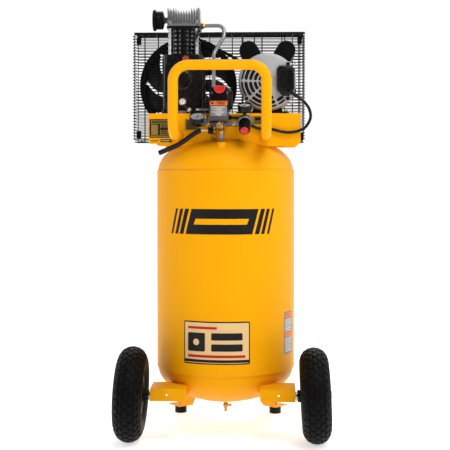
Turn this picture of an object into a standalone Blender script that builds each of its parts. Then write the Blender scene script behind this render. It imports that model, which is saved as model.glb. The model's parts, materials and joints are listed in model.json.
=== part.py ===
"""Portable vertical tank air compressor, belt driven, with a single-cylinder pump.

A standalone Blender 4.5 script, in metres, +Z up. The layout is measured from the tank's vertical
axis, with +X to the right of someone facing the controls and +Y towards the belt guard. The assembly
empty then moves the layout along Y, so that the world origin is under the middle of the object.
"""
import math

import bmesh
import bpy
from mathutils import Matrix, Vector

GAP = 0.0003            # clearance between neighbouring solids

# Tank
TANK_R = 0.203
SHELL_T = 0.0025
SEAM_LOW = 0.184
SEAM_TOP = 0.759
HEAD_DEPTH = 0.105
HEAD_R = TANK_R - SHELL_T - GAP
HEAD_T = 0.003
HEAD_LIP = 0.015
DRAIN_R = 0.0055
TANK_SIDES = 40

# Running gear
WHEEL_X = 0.258
WHEEL_Y = -0.20
TYRE_R = 0.133
TYRE_HALF = 0.041
TYRE_CROWN = 0.040      # radial half height of the tyre's section
CAMBER = math.radians(2.5)
WHEEL_Z = (TYRE_R - TYRE_CROWN) * math.cos(CAMBER) + math.hypot(
    TYRE_CROWN * math.cos(CAMBER), TYRE_HALF * math.sin(CAMBER))
AXLE_R = 0.0078
FOOT_X = 0.148
FOOT_Y = 0.180
FOOT_H = 0.023

# Platform and handle
PLATFORM_X = 0.22
PLATFORM_FRONT = -0.10
PLATFORM_BACK = 0.12
PLATFORM_Z = 0.925
PLATFORM_LOW = 0.830
SHEET_T = 0.003
HANDLE_X = 0.129         # half the distance between the handle's legs
HANDLE_MID = -0.007
HANDLE_Y = -0.25
HANDLE_TOP = 1.0515
HANDLE_FOOT = 0.860
HANDLE_R = 0.0143

# Pump, belt drive and motor
PUMP_X = -0.122
PUMP_Y = -0.0125
SHAFT_Z = 1.022
THROW = 0.020           # crank throw, half the stroke
BORE_R = 0.033
BARREL_SIDES = 16
CASE_TOP = 1.0985
CYLINDER_TOP = 1.1775
PLATE_TOP = 1.1832
HEAD_TOP = 1.238
PLATE_HALF = 0.0495
MOTOR_X = 0.124
MOTOR_Z = 1.018
MOTOR_R = 0.082
BELT_Y = 0.155
FLYWHEEL_R = 0.151
PULLEY_R = 0.037
GROOVE = 0.0125         # depth of the belt grooves
BLADES = 8

# Belt guard
GUARD_LEFT = -0.293
GUARD_RIGHT = 0.240
GUARD_LOW = 0.8455
GUARD_TOP = 1.187
GUARD_FRONT = 0.1215
GUARD_BACK = 0.240

# Controls
STAND_X = -0.0062
STAND_Y = -0.140
MANIFOLD_Z = 0.893
MANIFOLD_R = 0.0078

# Cords: radius and the points of each route
MOTOR_CORD_R = 0.0043
MOTOR_CORD_ROUTE = [
    (0.0226, -0.1066, 0.9120), (0.0300, -0.1066, 0.9119), (0.0430, -0.1066, 0.9097),
    (0.0560, -0.1066, 0.9038), (0.0690, -0.1066, 0.8960), (0.0820, -0.1066, 0.8882),
    (0.0950, -0.1066, 0.8824), (0.1080, -0.1066, 0.8802), (0.1260, -0.1066, 0.8800),
    (0.1450, -0.1070, 0.8768), (0.1640, -0.1075, 0.8718), (0.1881, -0.1080, 0.8692),
    (0.2155, -0.1085, 0.8740), (0.2333, -0.1085, 0.8845), (0.2450, -0.1080, 0.9020),
    (0.2483, -0.1065, 0.9200), (0.2431, -0.1040, 0.9394), (0.2300, -0.1005, 0.9575),
    (0.2155, -0.0985, 0.9695), (0.2050, -0.0980, 0.9770), (0.1970, -0.0980, 0.9826)]
HOSE_R = 0.007
HOSE_ROUTE = [
    (-0.0640, -0.1560, 0.8735), (-0.0720, -0.1563, 0.8712), (-0.0930, -0.1565, 0.8580),
    (-0.1100, -0.1550, 0.8450), (-0.1265, -0.1520, 0.8348), (-0.1420, -0.1490, 0.8272),
    (-0.1580, -0.1450, 0.8208), (-0.1720, -0.1415, 0.8150), (-0.1850, -0.1390, 0.8100)]

TANK_Y = (TYRE_R - WHEEL_Y - GUARD_BACK) / 2   # puts the object's box in the middle of Y

MATERIALS = {}


def clear_scene():
    for obj in list(bpy.data.objects):
        bpy.data.objects.remove(obj)


def make_materials():
    """name: colour, roughness, metallic"""
    table = {
        "yellow": ((0.99, 0.45, 0.02), 0.35, 0.0),
        "black_paint": ((0.012, 0.012, 0.013), 0.35, 0.0),
        "black_plastic": ((0.015, 0.015, 0.016), 0.5, 0.0),
        "dark_grey": ((0.04, 0.04, 0.045), 0.5, 0.3),
        "rubber": ((0.012, 0.012, 0.012), 0.8, 0.0),
        "red": ((0.6, 0.02, 0.02), 0.4, 0.0),
        "brass": ((0.75, 0.5, 0.16), 0.3, 1.0),
        "steel": ((0.6, 0.6, 0.61), 0.3, 1.0),
        "aluminium": ((0.62, 0.62, 0.62), 0.4, 1.0),
        "cast_iron": ((0.02, 0.02, 0.021), 0.4, 0.3),
    }
    for name, (colour, roughness, metallic) in table.items():
        material = bpy.data.materials.new(name)
        material.use_nodes = True
        shader = material.node_tree.nodes["Principled BSDF"]
        shader.inputs["Base Color"].default_value = (*colour, 1.0)
        shader.inputs["Roughness"].default_value = roughness
        shader.inputs["Metallic"].default_value = metallic
        MATERIALS[name] = material


def make_empty(name, at=(0, 0, 0), turn=(0, 0, 0), parent=None):
    empty = bpy.data.objects.new(name, None)
    bpy.context.scene.collection.objects.link(empty)
    empty.location = at
    empty.rotation_euler = turn
    empty.parent = parent
    return empty


def add(name, bm, material, at=(0, 0, 0), turn=(0, 0, 0), parent=None, crease=35):
    """A named object made from bm, in its parent's coordinates."""
    bmesh.ops.recalc_face_normals(bm, faces=bm.faces)
    mesh = bpy.data.meshes.new(name)
    bm.to_mesh(mesh)
    bm.free()
    mesh.shade_smooth()
    mesh.set_sharp_from_angle(angle=math.radians(crease))
    obj = bpy.data.objects.new(name, mesh)
    bpy.context.scene.collection.objects.link(obj)
    obj.location = at
    obj.rotation_euler = turn
    obj.parent = parent or ASSEMBLY
    if material:
        mesh.materials.append(MATERIALS[material])
    return obj


def cutter(name, bm, at=(0, 0, 0), turn=(0, 0, 0), parent=None):
    """A guide solid for Boolean modifiers, never part of the object."""
    obj = add(name, bm, None, at, turn, parent)
    obj.hide_render = True
    obj.display_type = "WIRE"
    return obj


def boolean(obj, tool, operation="DIFFERENCE"):
    modifier = obj.modifiers.new(operation.title(), "BOOLEAN")
    modifier.operation = operation
    modifier.solver = "EXACT"
    modifier.object = tool
    return obj


def soften(obj, width, segments=1):
    """Rounds the sharp edges of a plain solid."""
    modifier = obj.modifiers.new("Bevel", "BEVEL")
    modifier.width = width
    modifier.segments = segments
    modifier.limit_method = "ANGLE"
    modifier.angle_limit = math.radians(40)
    return obj


def steps(low, high, count):
    """count + 1 evenly spaced values from low to high."""
    return [low + (high - low) * i / count for i in range(count + 1)]


def circle(radius, sides, centre=(0.0, 0.0)):
    return [(centre[0] + radius * math.cos(2 * math.pi * i / sides),
             centre[1] + radius * math.sin(2 * math.pi * i / sides)) for i in range(sides)]


def rounded(half_u, half_v, radius, arc=3, centre=(0.0, 0.0)):
    """A rectangle with round corners, arc + 1 points to a corner."""
    points = []
    for su, sv, start in ((1, 1, 0), (-1, 1, 90), (-1, -1, 180), (1, -1, 270)):
        for angle in steps(start, start + 90, arc):
            turn = math.radians(angle)
            points.append((centre[0] + su * (half_u - radius) + radius * math.cos(turn),
                           centre[1] + sv * (half_v - radius) + radius * math.sin(turn)))
    return points


def frame_of(axis):
    """The rotation that takes +Z to the named axis or to a direction vector."""
    if axis == "X":
        return Matrix.Rotation(math.pi / 2, 4, "Y")
    if axis == "Y":
        return Matrix.Rotation(-math.pi / 2, 4, "X")
    if axis == "Z":
        return Matrix.Identity(4)
    return Vector(axis).to_track_quat("Z", "Y").to_matrix().to_4x4()


def loft(rings, ring_solid=False):
    """A closed skin over rings of points; a ring of one point is a pole.

    Without poles the first and last ring are capped, or joined when ring_solid is set."""
    bm = bmesh.new()
    made = [[bm.verts.new(point) for point in ring] for ring in rings]
    pairs = list(zip(made, made[1:]))
    if ring_solid:
        pairs.append((made[-1], made[0]))
    for one, two in pairs:
        count = max(len(one), len(two))
        for i in range(count):
            j = (i + 1) % count
            if len(one) == 1:
                bm.faces.new((one[0], two[i], two[j]))
            elif len(two) == 1:
                bm.faces.new((one[i], one[j], two[0]))
            else:
                bm.faces.new((one[i], one[j], two[j], two[i]))
    if not ring_solid:
        for end in (made[0], made[-1]):
            if len(end) > 1:
                bm.faces.new(end)
    return bm


def lathe(profile, sides=24, axis="Z", ring_solid=False):
    """A turned solid. profile holds (radius, height) points along its outline."""
    rings = []
    for radius, height in profile:
        if radius < 1e-6:
            rings.append([(0.0, 0.0, height)])
        else:
            rings.append([(u, v, height) for u, v in circle(radius, sides)])
    bm = loft(rings, ring_solid)
    bm.transform(frame_of(axis))
    return bm


def prism(outline, low, high, axis="Z"):
    """An outline pushed from low to high: (x, y) for Z, (x, z) for Y and (y, z) for X."""
    place = {"Z": lambda u, v, h: (u, v, h),
             "Y": lambda u, v, h: (u, h, v),
             "X": lambda u, v, h: (h, u, v)}[axis]
    return loft([[place(u, v, h) for u, v in outline] for h in (low, high)])


def box(low, high):
    return prism([(low[0], low[1]), (high[0], low[1]), (high[0], high[1]), (low[0], high[1])],
                 low[2], high[2])


def merge(*parts):
    """Several closed shells in one mesh, for a cutter."""
    whole = bmesh.new()
    for part in parts:
        bmesh.ops.recalc_face_normals(part, faces=part.faces)
        mesh = bpy.data.meshes.new("shell")
        part.to_mesh(mesh)
        part.free()
        whole.from_mesh(mesh)
        bpy.data.meshes.remove(mesh)
    return whole


def round_corners(points, radius, count):
    """A path whose inner corners are replaced by arcs of that radius."""
    points = [Vector(p) for p in points]
    path = [points[0]]
    for before, corner, after in zip(points, points[1:], points[2:]):
        to_start = (before - corner).normalized()
        to_end = (after - corner).normalized()
        half = to_start.angle(to_end) / 2
        reach = radius / math.tan(half)
        centre = corner + (to_start + to_end).normalized() * radius / math.sin(half)
        start = (corner + to_start * reach - centre).normalized()
        end = (corner + to_end * reach - centre).normalized()
        for share in steps(0, 1, count):
            path.append(centre + start.slerp(end, share).normalized() * radius)
    path.append(points[-1])
    return path


def smooth_route(points, count):
    """A smooth curve through the points, count steps to a span (centripetal enough for gentle routes)."""
    points = [Vector(p) for p in points]
    ends = [points[0] * 2 - points[1]] + points + [points[-1] * 2 - points[-2]]
    path = []
    for a, b, c, d in zip(ends, ends[1:], ends[2:], ends[3:]):
        for i in range(count):
            t = i / count
            path.append(0.5 * (2 * b + (c - a) * t + (2 * a - 5 * b + 4 * c - d) * t ** 2
                               + (3 * b - a - 3 * c + d) * t ** 3))
    path.append(points[-1])
    return path


def tube(name, path, radius, material, resolution=2):
    """A round bar or cord along a path, with flat ends."""
    curve = bpy.data.curves.new(name, "CURVE")
    curve.dimensions = "3D"
    curve.bevel_depth = radius
    curve.bevel_resolution = resolution
    curve.render_resolution_u = 0
    curve.use_fill_caps = True
    spline = curve.splines.new("POLY")
    spline.points.add(len(path) - 1)
    for point, place in zip(spline.points, path):
        point.co = (*place, 1.0)
    curve.materials.append(MATERIALS[material])
    obj = bpy.data.objects.new(name, curve)
    bpy.context.scene.collection.objects.link(obj)
    obj.parent = ASSEMBLY
    return obj


# Tank ---------------------------------------------------------------------------------------------

def head_profile(seam, up, hole_r):
    """The section of a dished head; up is +1 for the top head and -1 for the bottom one."""
    stop = math.acos(hole_r / HEAD_R)
    outer = [(HEAD_R * math.cos(a), seam + up * HEAD_DEPTH * math.sin(a)) for a in steps(0, stop, 7)]
    inner_r = HEAD_R - HEAD_T
    stop = math.acos(hole_r / inner_r)
    inner = [(inner_r * math.cos(a), seam + up * (HEAD_DEPTH - HEAD_T) * math.sin(a))
             for a in steps(stop, 0, 3)]
    return ([(HEAD_R, seam - up * HEAD_LIP)] + outer + inner + [(inner_r, seam - up * HEAD_LIP)])


def tank_envelope():
    """The tank's outside with the clearance added: a cutter for whatever is welded to it."""
    reach = HEAD_R + GAP
    low = [(reach * math.sin(a), SEAM_LOW - (HEAD_DEPTH + GAP) * math.cos(a))
           for a in steps(0, math.pi / 2, 7)]
    top = [(reach * math.cos(a), SEAM_TOP + (HEAD_DEPTH + GAP) * math.sin(a))
           for a in steps(0, math.pi / 2, 7)]
    shell = [(TANK_R + GAP, SEAM_LOW - GAP), (TANK_R + GAP, SEAM_TOP + GAP)]
    return cutter("tank_envelope", lathe(low + shell + top, TANK_SIDES))


def make_tank():
    shell = [(TANK_R, SEAM_LOW), (TANK_R, SEAM_TOP), (TANK_R - SHELL_T, SEAM_TOP),
             (TANK_R - SHELL_T, SEAM_LOW)]
    add("tank_shell", lathe(shell, TANK_SIDES, ring_solid=True), "yellow")
    top = add("tank_top_head", lathe(head_profile(SEAM_TOP, 1, DRAIN_R), TANK_SIDES, ring_solid=True),
              "yellow")
    boss = [(0.0, 0.828), (0.0135, 0.828), (0.0135, 0.8395), (0.0125, 0.8410), (0.0, 0.8410)]
    boolean(top, cutter("standpipe_boss", lathe(boss, 20), at=(STAND_X, STAND_Y, 0)), "UNION")
    add("tank_bottom_head",
        lathe(head_profile(SEAM_LOW, -1, DRAIN_R), TANK_SIDES, ring_solid=True), "yellow")


def make_drain():
    low, neck = 0.0435, SEAM_LOW - HEAD_DEPTH
    body = [(0.0, low), (0.0058, low), (0.0068, low + 0.002), (0.0068, low + 0.008),
            (0.0045, low + 0.010), (0.0045, low + 0.014), (0.0078, low + 0.016),
            (0.0078, neck - 0.003), (0.0050, neck - 0.002), (0.0050, neck + 0.008), (0.0, neck + 0.008)]
    add("drain_valve_body", lathe(body, 16), "brass")
    pivot = make_empty("drain_lever_axis", (0, 0, 0.062), parent=ASSEMBLY)
    stem = [(0.0, 0.0082), (0.0022, 0.0082), (0.0022, 0.0115), (0.0038, 0.0116), (0.0038, 0.0185),
            (0.0, 0.0185)]
    lever = lathe(stem, 8, "X")
    for vert in lever.verts:
        if vert.co.x > 0.0115:
            vert.co.z *= 1.15
            vert.co.y *= 0.6
    add("drain_lever", lever, "black_plastic", parent=pivot)


# Running gear -------------------------------------------------------------------------------------

def make_wheel(side, sign, envelope):
    turn = (0, -CAMBER, 0 if sign > 0 else math.pi)
    hub = make_empty(side + "_wheel_axis", (sign * WHEEL_X, WHEEL_Y, WHEEL_Z), turn, ASSEMBLY)
    middle = TYRE_R - TYRE_CROWN
    crown = [(middle + TYRE_CROWN * math.sin(a), TYRE_HALF * math.cos(a))
             for a in steps(math.radians(-42), math.radians(222), 8)]
    tyre = [(0.0515, 0.0275)] + crown + [(0.0515, -0.0275)]
    add(side + "_tyre", lathe(tyre, 32, "X", ring_solid=True), "rubber", parent=hub)
    bead, hole = 0.0509, 0.0084
    rim = [(hole, 0.0385), (0.0175, 0.0385), (0.0175, 0.010), (0.044, 0.010), (0.0475, 0.0290),
           (0.0545, 0.0305), (0.0545, 0.0292), (bead, 0.0279), (0.0485, 0.004), (0.0485, -0.020),
           (bead, -0.0279), (0.0545, -0.0292), (0.0545, -0.0305), (0.0475, -0.0290),
           (0.0175, -0.012), (0.0175, -0.0500), (hole, -0.0500)]
    add(side + "_rim", lathe(rim, 20, "X", ring_solid=True), "black_paint", parent=hub)
    plate = WHEEL_X - 0.2025                # from the wheel's middle to the bracket's outer face
    bolt = [(0.0, 0.0465), (0.0115, 0.0465), (0.0115, 0.0390), (AXLE_R, 0.0390),
            (AXLE_R, -0.0504), (0.0125, -0.0504), (0.0125, -(plate - 0.0011)),
            (AXLE_R, -(plate - 0.0010)), (AXLE_R, -(plate + 0.0046)), (0.0120, -(plate + 0.0048)),
            (0.0120, -(plate + 0.0115)), (AXLE_R, -(plate + 0.0120)), (AXLE_R, -(plate + 0.0160)),
            (0.0, -(plate + 0.0160))]
    add(side + "_axle_bolt", lathe(bolt, 16, "X"), "steel", parent=hub)

    front, back, low, top = -0.222, -0.120, 0.1178, 0.1525
    inner, outer = 0.1045, 0.2025

    def span(a, b):
        return (min(sign * a, sign * b), max(sign * a, sign * b))

    x0, x1 = span(inner, outer)
    bracket = add(side + "_wheel_bracket", box((x0, front, low), (x1, back, top)), "yellow")
    x0, x1 = span(inner + SHEET_T, outer - SHEET_T)
    hollow = box((x0, front + SHEET_T, low - 0.01), (x1, back + 0.01, top - SHEET_T))
    boolean(bracket, cutter(side + "_bracket_hollow", hollow))
    boolean(bracket, envelope)
    bore = lathe([(0.0, -0.015), (0.0092, -0.015), (0.0092, 0.015), (0.0, 0.015)], 16, "X")
    drop = plate * math.sin(CAMBER)         # how much lower the cambered axle is at the bracket
    boolean(bracket, cutter(side + "_axle_bore", bore, at=(sign * outer, WHEEL_Y, WHEEL_Z - drop)))


def make_foot(side, sign, envelope):
    bearing = math.atan2(FOOT_Y, sign * FOOT_X)
    reach = math.hypot(FOOT_X, FOOT_Y)
    z0 = FOOT_H + GAP
    z1 = z0 + SHEET_T
    strap = [(reach + 0.029, z0), (reach + 0.029, z1), (reach - 0.027, z1), (0.1385, 0.140),
             (0.1335, 0.140), (reach - 0.0285, z0)]
    bm = prism(strap, -0.026, 0.026, "Y")
    leg = add(side + "_foot_bracket", bm, "yellow", turn=(0, 0, bearing))
    boolean(leg, envelope)
    foot = [(0.0, 0.0), (0.0178, 0.0), (0.0188, 0.002), (0.0180, FOOT_H), (0.0, FOOT_H)]
    add(side + "_rubber_foot", lathe(foot, 20), "rubber", at=(sign * FOOT_X, FOOT_Y, 0))


# Platform and handle ------------------------------------------------------------------------------

def make_platform(envelope):
    f, b, t, z = PLATFORM_FRONT, PLATFORM_BACK, SHEET_T, PLATFORM_Z
    low = PLATFORM_LOW
    section = [(f, low), (f, z - 0.004), (f + 0.0012, z - 0.0012), (f + 0.004, z), (b - 0.004, z),
               (b - 0.0012, z - 0.0012), (b, z - 0.004), (b, low), (b - t, low), (b - t, z - t),
               (f + t, z - t), (f + t, low)]
    plate = add("platform", prism(section, -PLATFORM_X, PLATFORM_X, "X"), "yellow")
    boolean(plate, envelope)
    edge, bite = PLATFORM_X, 0.012
    right = [(edge - bite, low - 0.01), (edge + 0.01, low - 0.01), (edge + 0.01, low + bite),
             (edge, low + bite), (edge - bite, low)]
    left = [(-edge - 0.01, low - 0.01), (-0.188, low - 0.01), (-0.190, low + 0.007),
            (-edge + 0.005, low + 0.007), (-edge, low + 0.012), (-edge - 0.01, low + 0.012)]
    corners = merge(prism(right, f - 0.01, b + 0.01, "Y"), prism(left, f - 0.01, b + 0.01, "Y"))
    boolean(plate, cutter("platform_corners", corners))


def make_handle():
    end = PLATFORM_FRONT - 0.0006
    route = []
    for sign in (-1, 1):
        x, foot_x = HANDLE_MID + sign * HANDLE_X, HANDLE_MID + sign * (HANDLE_X - 0.004)
        leg = [(foot_x, end, HANDLE_FOOT), (x, HANDLE_Y, HANDLE_FOOT), (x, HANDLE_Y, HANDLE_TOP)]
        route += leg if sign < 0 else leg[::-1]
    tube("handle", round_corners(route, 0.0435, 4), HANDLE_R, "yellow", 3)


# Pump ---------------------------------------------------------------------------------------------

def make_crankcase():
    half, front, back = 0.0615, -0.085, 0.060
    z0 = PLATFORM_Z + GAP
    case = add("crankcase", box((PUMP_X - half, front, z0), (PUMP_X + half, back, CASE_TOP)),
               "cast_iron")
    soften(case, 0.006, 2)
    wall = 0.008
    hollow = box((PUMP_X - half + wall, front + wall, z0 + wall),
                 (PUMP_X + half - wall, back - wall, CASE_TOP - wall))
    boolean(case, cutter("crankcase_hollow", hollow))
    bore = lathe([(0.0, 0.0), (0.037, 0.0), (0.037, 0.03), (0.0, 0.03)], 24)
    boolean(case, cutter("crankcase_bore", bore, at=(PUMP_X, PUMP_Y, CASE_TOP - 0.012)))
    bearing = lathe([(0.0, 0.0), (0.0134, 0.0), (0.0134, 0.03), (0.0, 0.03)], 20, "Y")
    boolean(case, cutter("crankcase_bearing", bearing, at=(PUMP_X, back - 0.018, SHAFT_Z)))

    cap = [(0.0, -0.099), (0.0185, -0.099), (0.0205, -0.097), (0.0205, -0.0925), (0.027, -0.0915),
           (0.030, -0.0885), (0.030, front - GAP), (0.0, front - GAP)]
    add("bearing_cap", lathe(cap, 28, "Y"), "cast_iron", at=(PUMP_X, 0, SHAFT_Z))
    glass = [(0.0, -0.0890), (0.0055, -0.0890), (0.0062, -0.0905), (0.0085, -0.0900),
             (0.0090, front - GAP), (0.0, front - GAP)]
    add("sight_glass", lathe(glass, 20, "Y"), "steel", at=(PUMP_X, 0, 0.959))
    pivot = make_empty("oil_fill_cap_axis", (PUMP_X + 0.010, front, 1.083), parent=ASSEMBLY)
    fill = [(0.0, -0.0135), (0.0085, -0.0135), (0.0098, -0.012), (0.0098, -0.005), (0.006, -0.004),
            (0.006, -GAP), (0.0, -GAP)]
    add("oil_fill_cap", lathe(fill, 16, "Y"), "red", parent=pivot)


def make_cylinder():
    """A round barrel with square cooling fins, bored through."""
    angles = steps(0, 2 * math.pi, BARREL_SIDES)[:-1]
    power = 8                       # a high power makes the fins square with small round corners

    def fin_radius(a):
        return 0.048 / (abs(math.cos(a)) ** power + abs(math.sin(a)) ** power) ** (1 / power)

    fin = [(fin_radius(a) * math.cos(a), fin_radius(a) * math.sin(a)) for a in angles]
    barrel = circle(0.0405, BARREL_SIDES)
    bore = circle(BORE_R, BARREL_SIDES)
    fins, thick = 7, 0.0045
    z0, z1 = CASE_TOP + GAP, CYLINDER_TOP - GAP
    pitch = (z1 - z0 - thick) / (fins - 1)
    levels = []
    for i in range(fins):
        low = z0 + i * pitch
        levels += [(low, barrel if i else fin), (low, fin), (low + thick, fin), (low + thick, barrel)]
    levels = levels[1:-1]
    rings = [[(u, v, z) for u, v in outline] for z, outline in levels]
    rings += [[(u, v, z) for u, v in bore] for z in (z1, z0)]
    add("cylinder", loft(rings, ring_solid=True), "black_paint", at=(PUMP_X, PUMP_Y, 0), crease=50)
    plate = prism(rounded(PLATE_HALF, PLATE_HALF, 0.008, 2), CYLINDER_TOP, PLATE_TOP)
    add("valve_plate", plate, "black_paint", at=(PUMP_X, PUMP_Y, 0))


def make_cylinder_head():
    """A comb of upright fins on a thick base, lower in the middle for the bolts' clearance."""
    half, base, low, fins = 0.0478, 1.190, PLATE_TOP + GAP, 13
    pitch = 2 * half / (fins - 0.45)
    thick = 0.55 * pitch
    outline = [(-half, low)]
    for i in range(fins):
        left = -half + i * pitch
        middle = abs(i - (fins - 1) / 2) < 2.5
        top = HEAD_TOP - (0.008 if middle else 0.0)
        outline += [(left, base), (left, top), (left + thick, top), (left + thick, base)]
    del outline[1]
    del outline[-1]
    outline.append((half, low))
    add("cylinder_head", prism(outline, PUMP_Y - 0.047, PUMP_Y + 0.047, "Y"), "aluminium",
        at=(PUMP_X, 0, 0))
    x0 = -half - GAP
    body = [(0.0, x0), (0.009, x0), (0.009, x0 - 0.011), (0.022, x0 - 0.0125), (0.0255, x0 - 0.017),
            (0.0255, x0 - 0.035), (0.031, x0 - 0.0355), (0.031, x0 - 0.0445), (0.0, x0 - 0.0445)]
    add("intake_filter", lathe(body, 24, "X"), "black_plastic", at=(PUMP_X, PUMP_Y - 0.006, 1.2045))


def make_crank():
    """Crankshaft, flywheel, rod and piston. The rod's eye runs just in front of the pin's end."""
    axis = make_empty("crank_axis", (PUMP_X, 0, SHAFT_Z), parent=ASSEMBLY)
    web = [(0.0, 0.010), (0.031, 0.010), (0.031, 0.020), (0.0127, 0.0205), (0.0127, 0.168),
           (0.0, 0.168)]
    shaft = add("crankshaft", lathe(web, 24, "Y"), "steel", parent=axis)
    pin = lathe([(0.0, -0.004), (0.008, -0.004), (0.008, 0.015), (0.0, 0.015)], 16, "Y")
    boolean(shaft, cutter("crankpin", pin, at=(0, 0, THROW), parent=axis), "UNION")

    half, r = 0.012, FLYWHEEL_R
    wheel = [(0.0131, BELT_Y - 0.020), (0.028, BELT_Y - 0.020), (0.028, BELT_Y - 0.003),
             (r - 0.019, BELT_Y - 0.003), (r - 0.019, BELT_Y - half), (r, BELT_Y - half),
             (r, BELT_Y - 0.0075), (r - GROOVE, BELT_Y - 0.0045), (r - GROOVE, BELT_Y + 0.0045),
             (r, BELT_Y + 0.0075), (r, BELT_Y + half), (r - 0.019, BELT_Y + half),
             (r - 0.019, BELT_Y + 0.003), (0.028, BELT_Y + 0.003), (0.028, BELT_Y + 0.012),
             (0.0131, BELT_Y + 0.012)]
    flywheel = add("flywheel", lathe(wheel, 40, "Y", ring_solid=True), "cast_iron", parent=axis)
    slots = []
    for i in range(BLADES):
        base = math.radians(12) + 2 * math.pi * i / BLADES
        inner, outer = [], []
        for share in steps(0, 1, 3):
            radius = 0.042 + share * 0.084
            bend = base + math.radians(14 - 30 * share ** 2)
            width = 0.0035 + 0.003 * math.sin(math.pi * share)
            for line, offset in ((inner, -width), (outer, width)):
                angle = bend + offset / radius
                line.append((radius * math.cos(angle), radius * math.sin(angle)))
        slots.append(prism(inner + outer[::-1], BELT_Y - 0.008, BELT_Y + 0.008, "Y"))
    boolean(flywheel, cutter("flywheel_slots", merge(*slots), parent=axis))

    rest = make_empty("piston_axis", (PUMP_X, PUMP_Y, SHAFT_Z + THROW), parent=ASSEMBLY)
    crown = CYLINDER_TOP - 0.0015 - (SHAFT_Z + THROW)
    skirt = crown - 0.042
    piston = [(0.0, crown), (BORE_R - 0.0009, crown), (BORE_R - 0.0009, skirt),
              (0.0265, skirt), (0.0265, crown - 0.008), (0.0, crown - 0.008)]
    body = add("piston", lathe(piston, BARREL_SIDES), "aluminium", parent=rest)
    pin_z = crown - 0.024
    wrist = lathe([(0.0, -0.030), (0.007, -0.030), (0.007, 0.030), (0.0, 0.030)], 16, "Y")
    boolean(body, cutter("wrist_pin", wrist, at=(0, 0, pin_z), parent=rest), "UNION")
    # the rod is a flat bar with an eye at each end; its plane is in front of the crankpin
    eye, small = 0.0165, 0.0125
    bar = []
    for angle in steps(180, 360, 10):
        bar.append((eye * math.cos(math.radians(angle)), eye * math.sin(math.radians(angle))))
    for angle in steps(0, 180, 10):
        bar.append((small * math.cos(math.radians(angle)),
                    pin_z + small * math.sin(math.radians(angle))))
    thick = 0.006
    rod = add("connecting_rod", prism(bar, -thick, thick, "Y"), "aluminium", parent=rest)
    for name, radius, z in (("rod_big_bore", 0.0084, 0.0), ("rod_small_bore", 0.0074, pin_z)):
        hole = lathe([(0.0, -0.02), (radius, -0.02), (radius, 0.02), (0.0, 0.02)], 16, "Y")
        boolean(rod, cutter(name, hole, at=(0, 0, z), parent=rest))


# Motor and belt -----------------------------------------------------------------------------------

def arc_slot(r0, r1, start, end, count, low, high):
    """A curved slot between two radii and two angles, as a prism along Y."""
    outer = [(r1 * math.cos(math.radians(a)), r1 * math.sin(math.radians(a)))
             for a in steps(start, end, count)]
    inner = [(r0 * math.cos(math.radians(a)), r0 * math.sin(math.radians(a)))
             for a in steps(end, start, count)]
    return prism(outer + inner, low, high, "Y")


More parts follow.
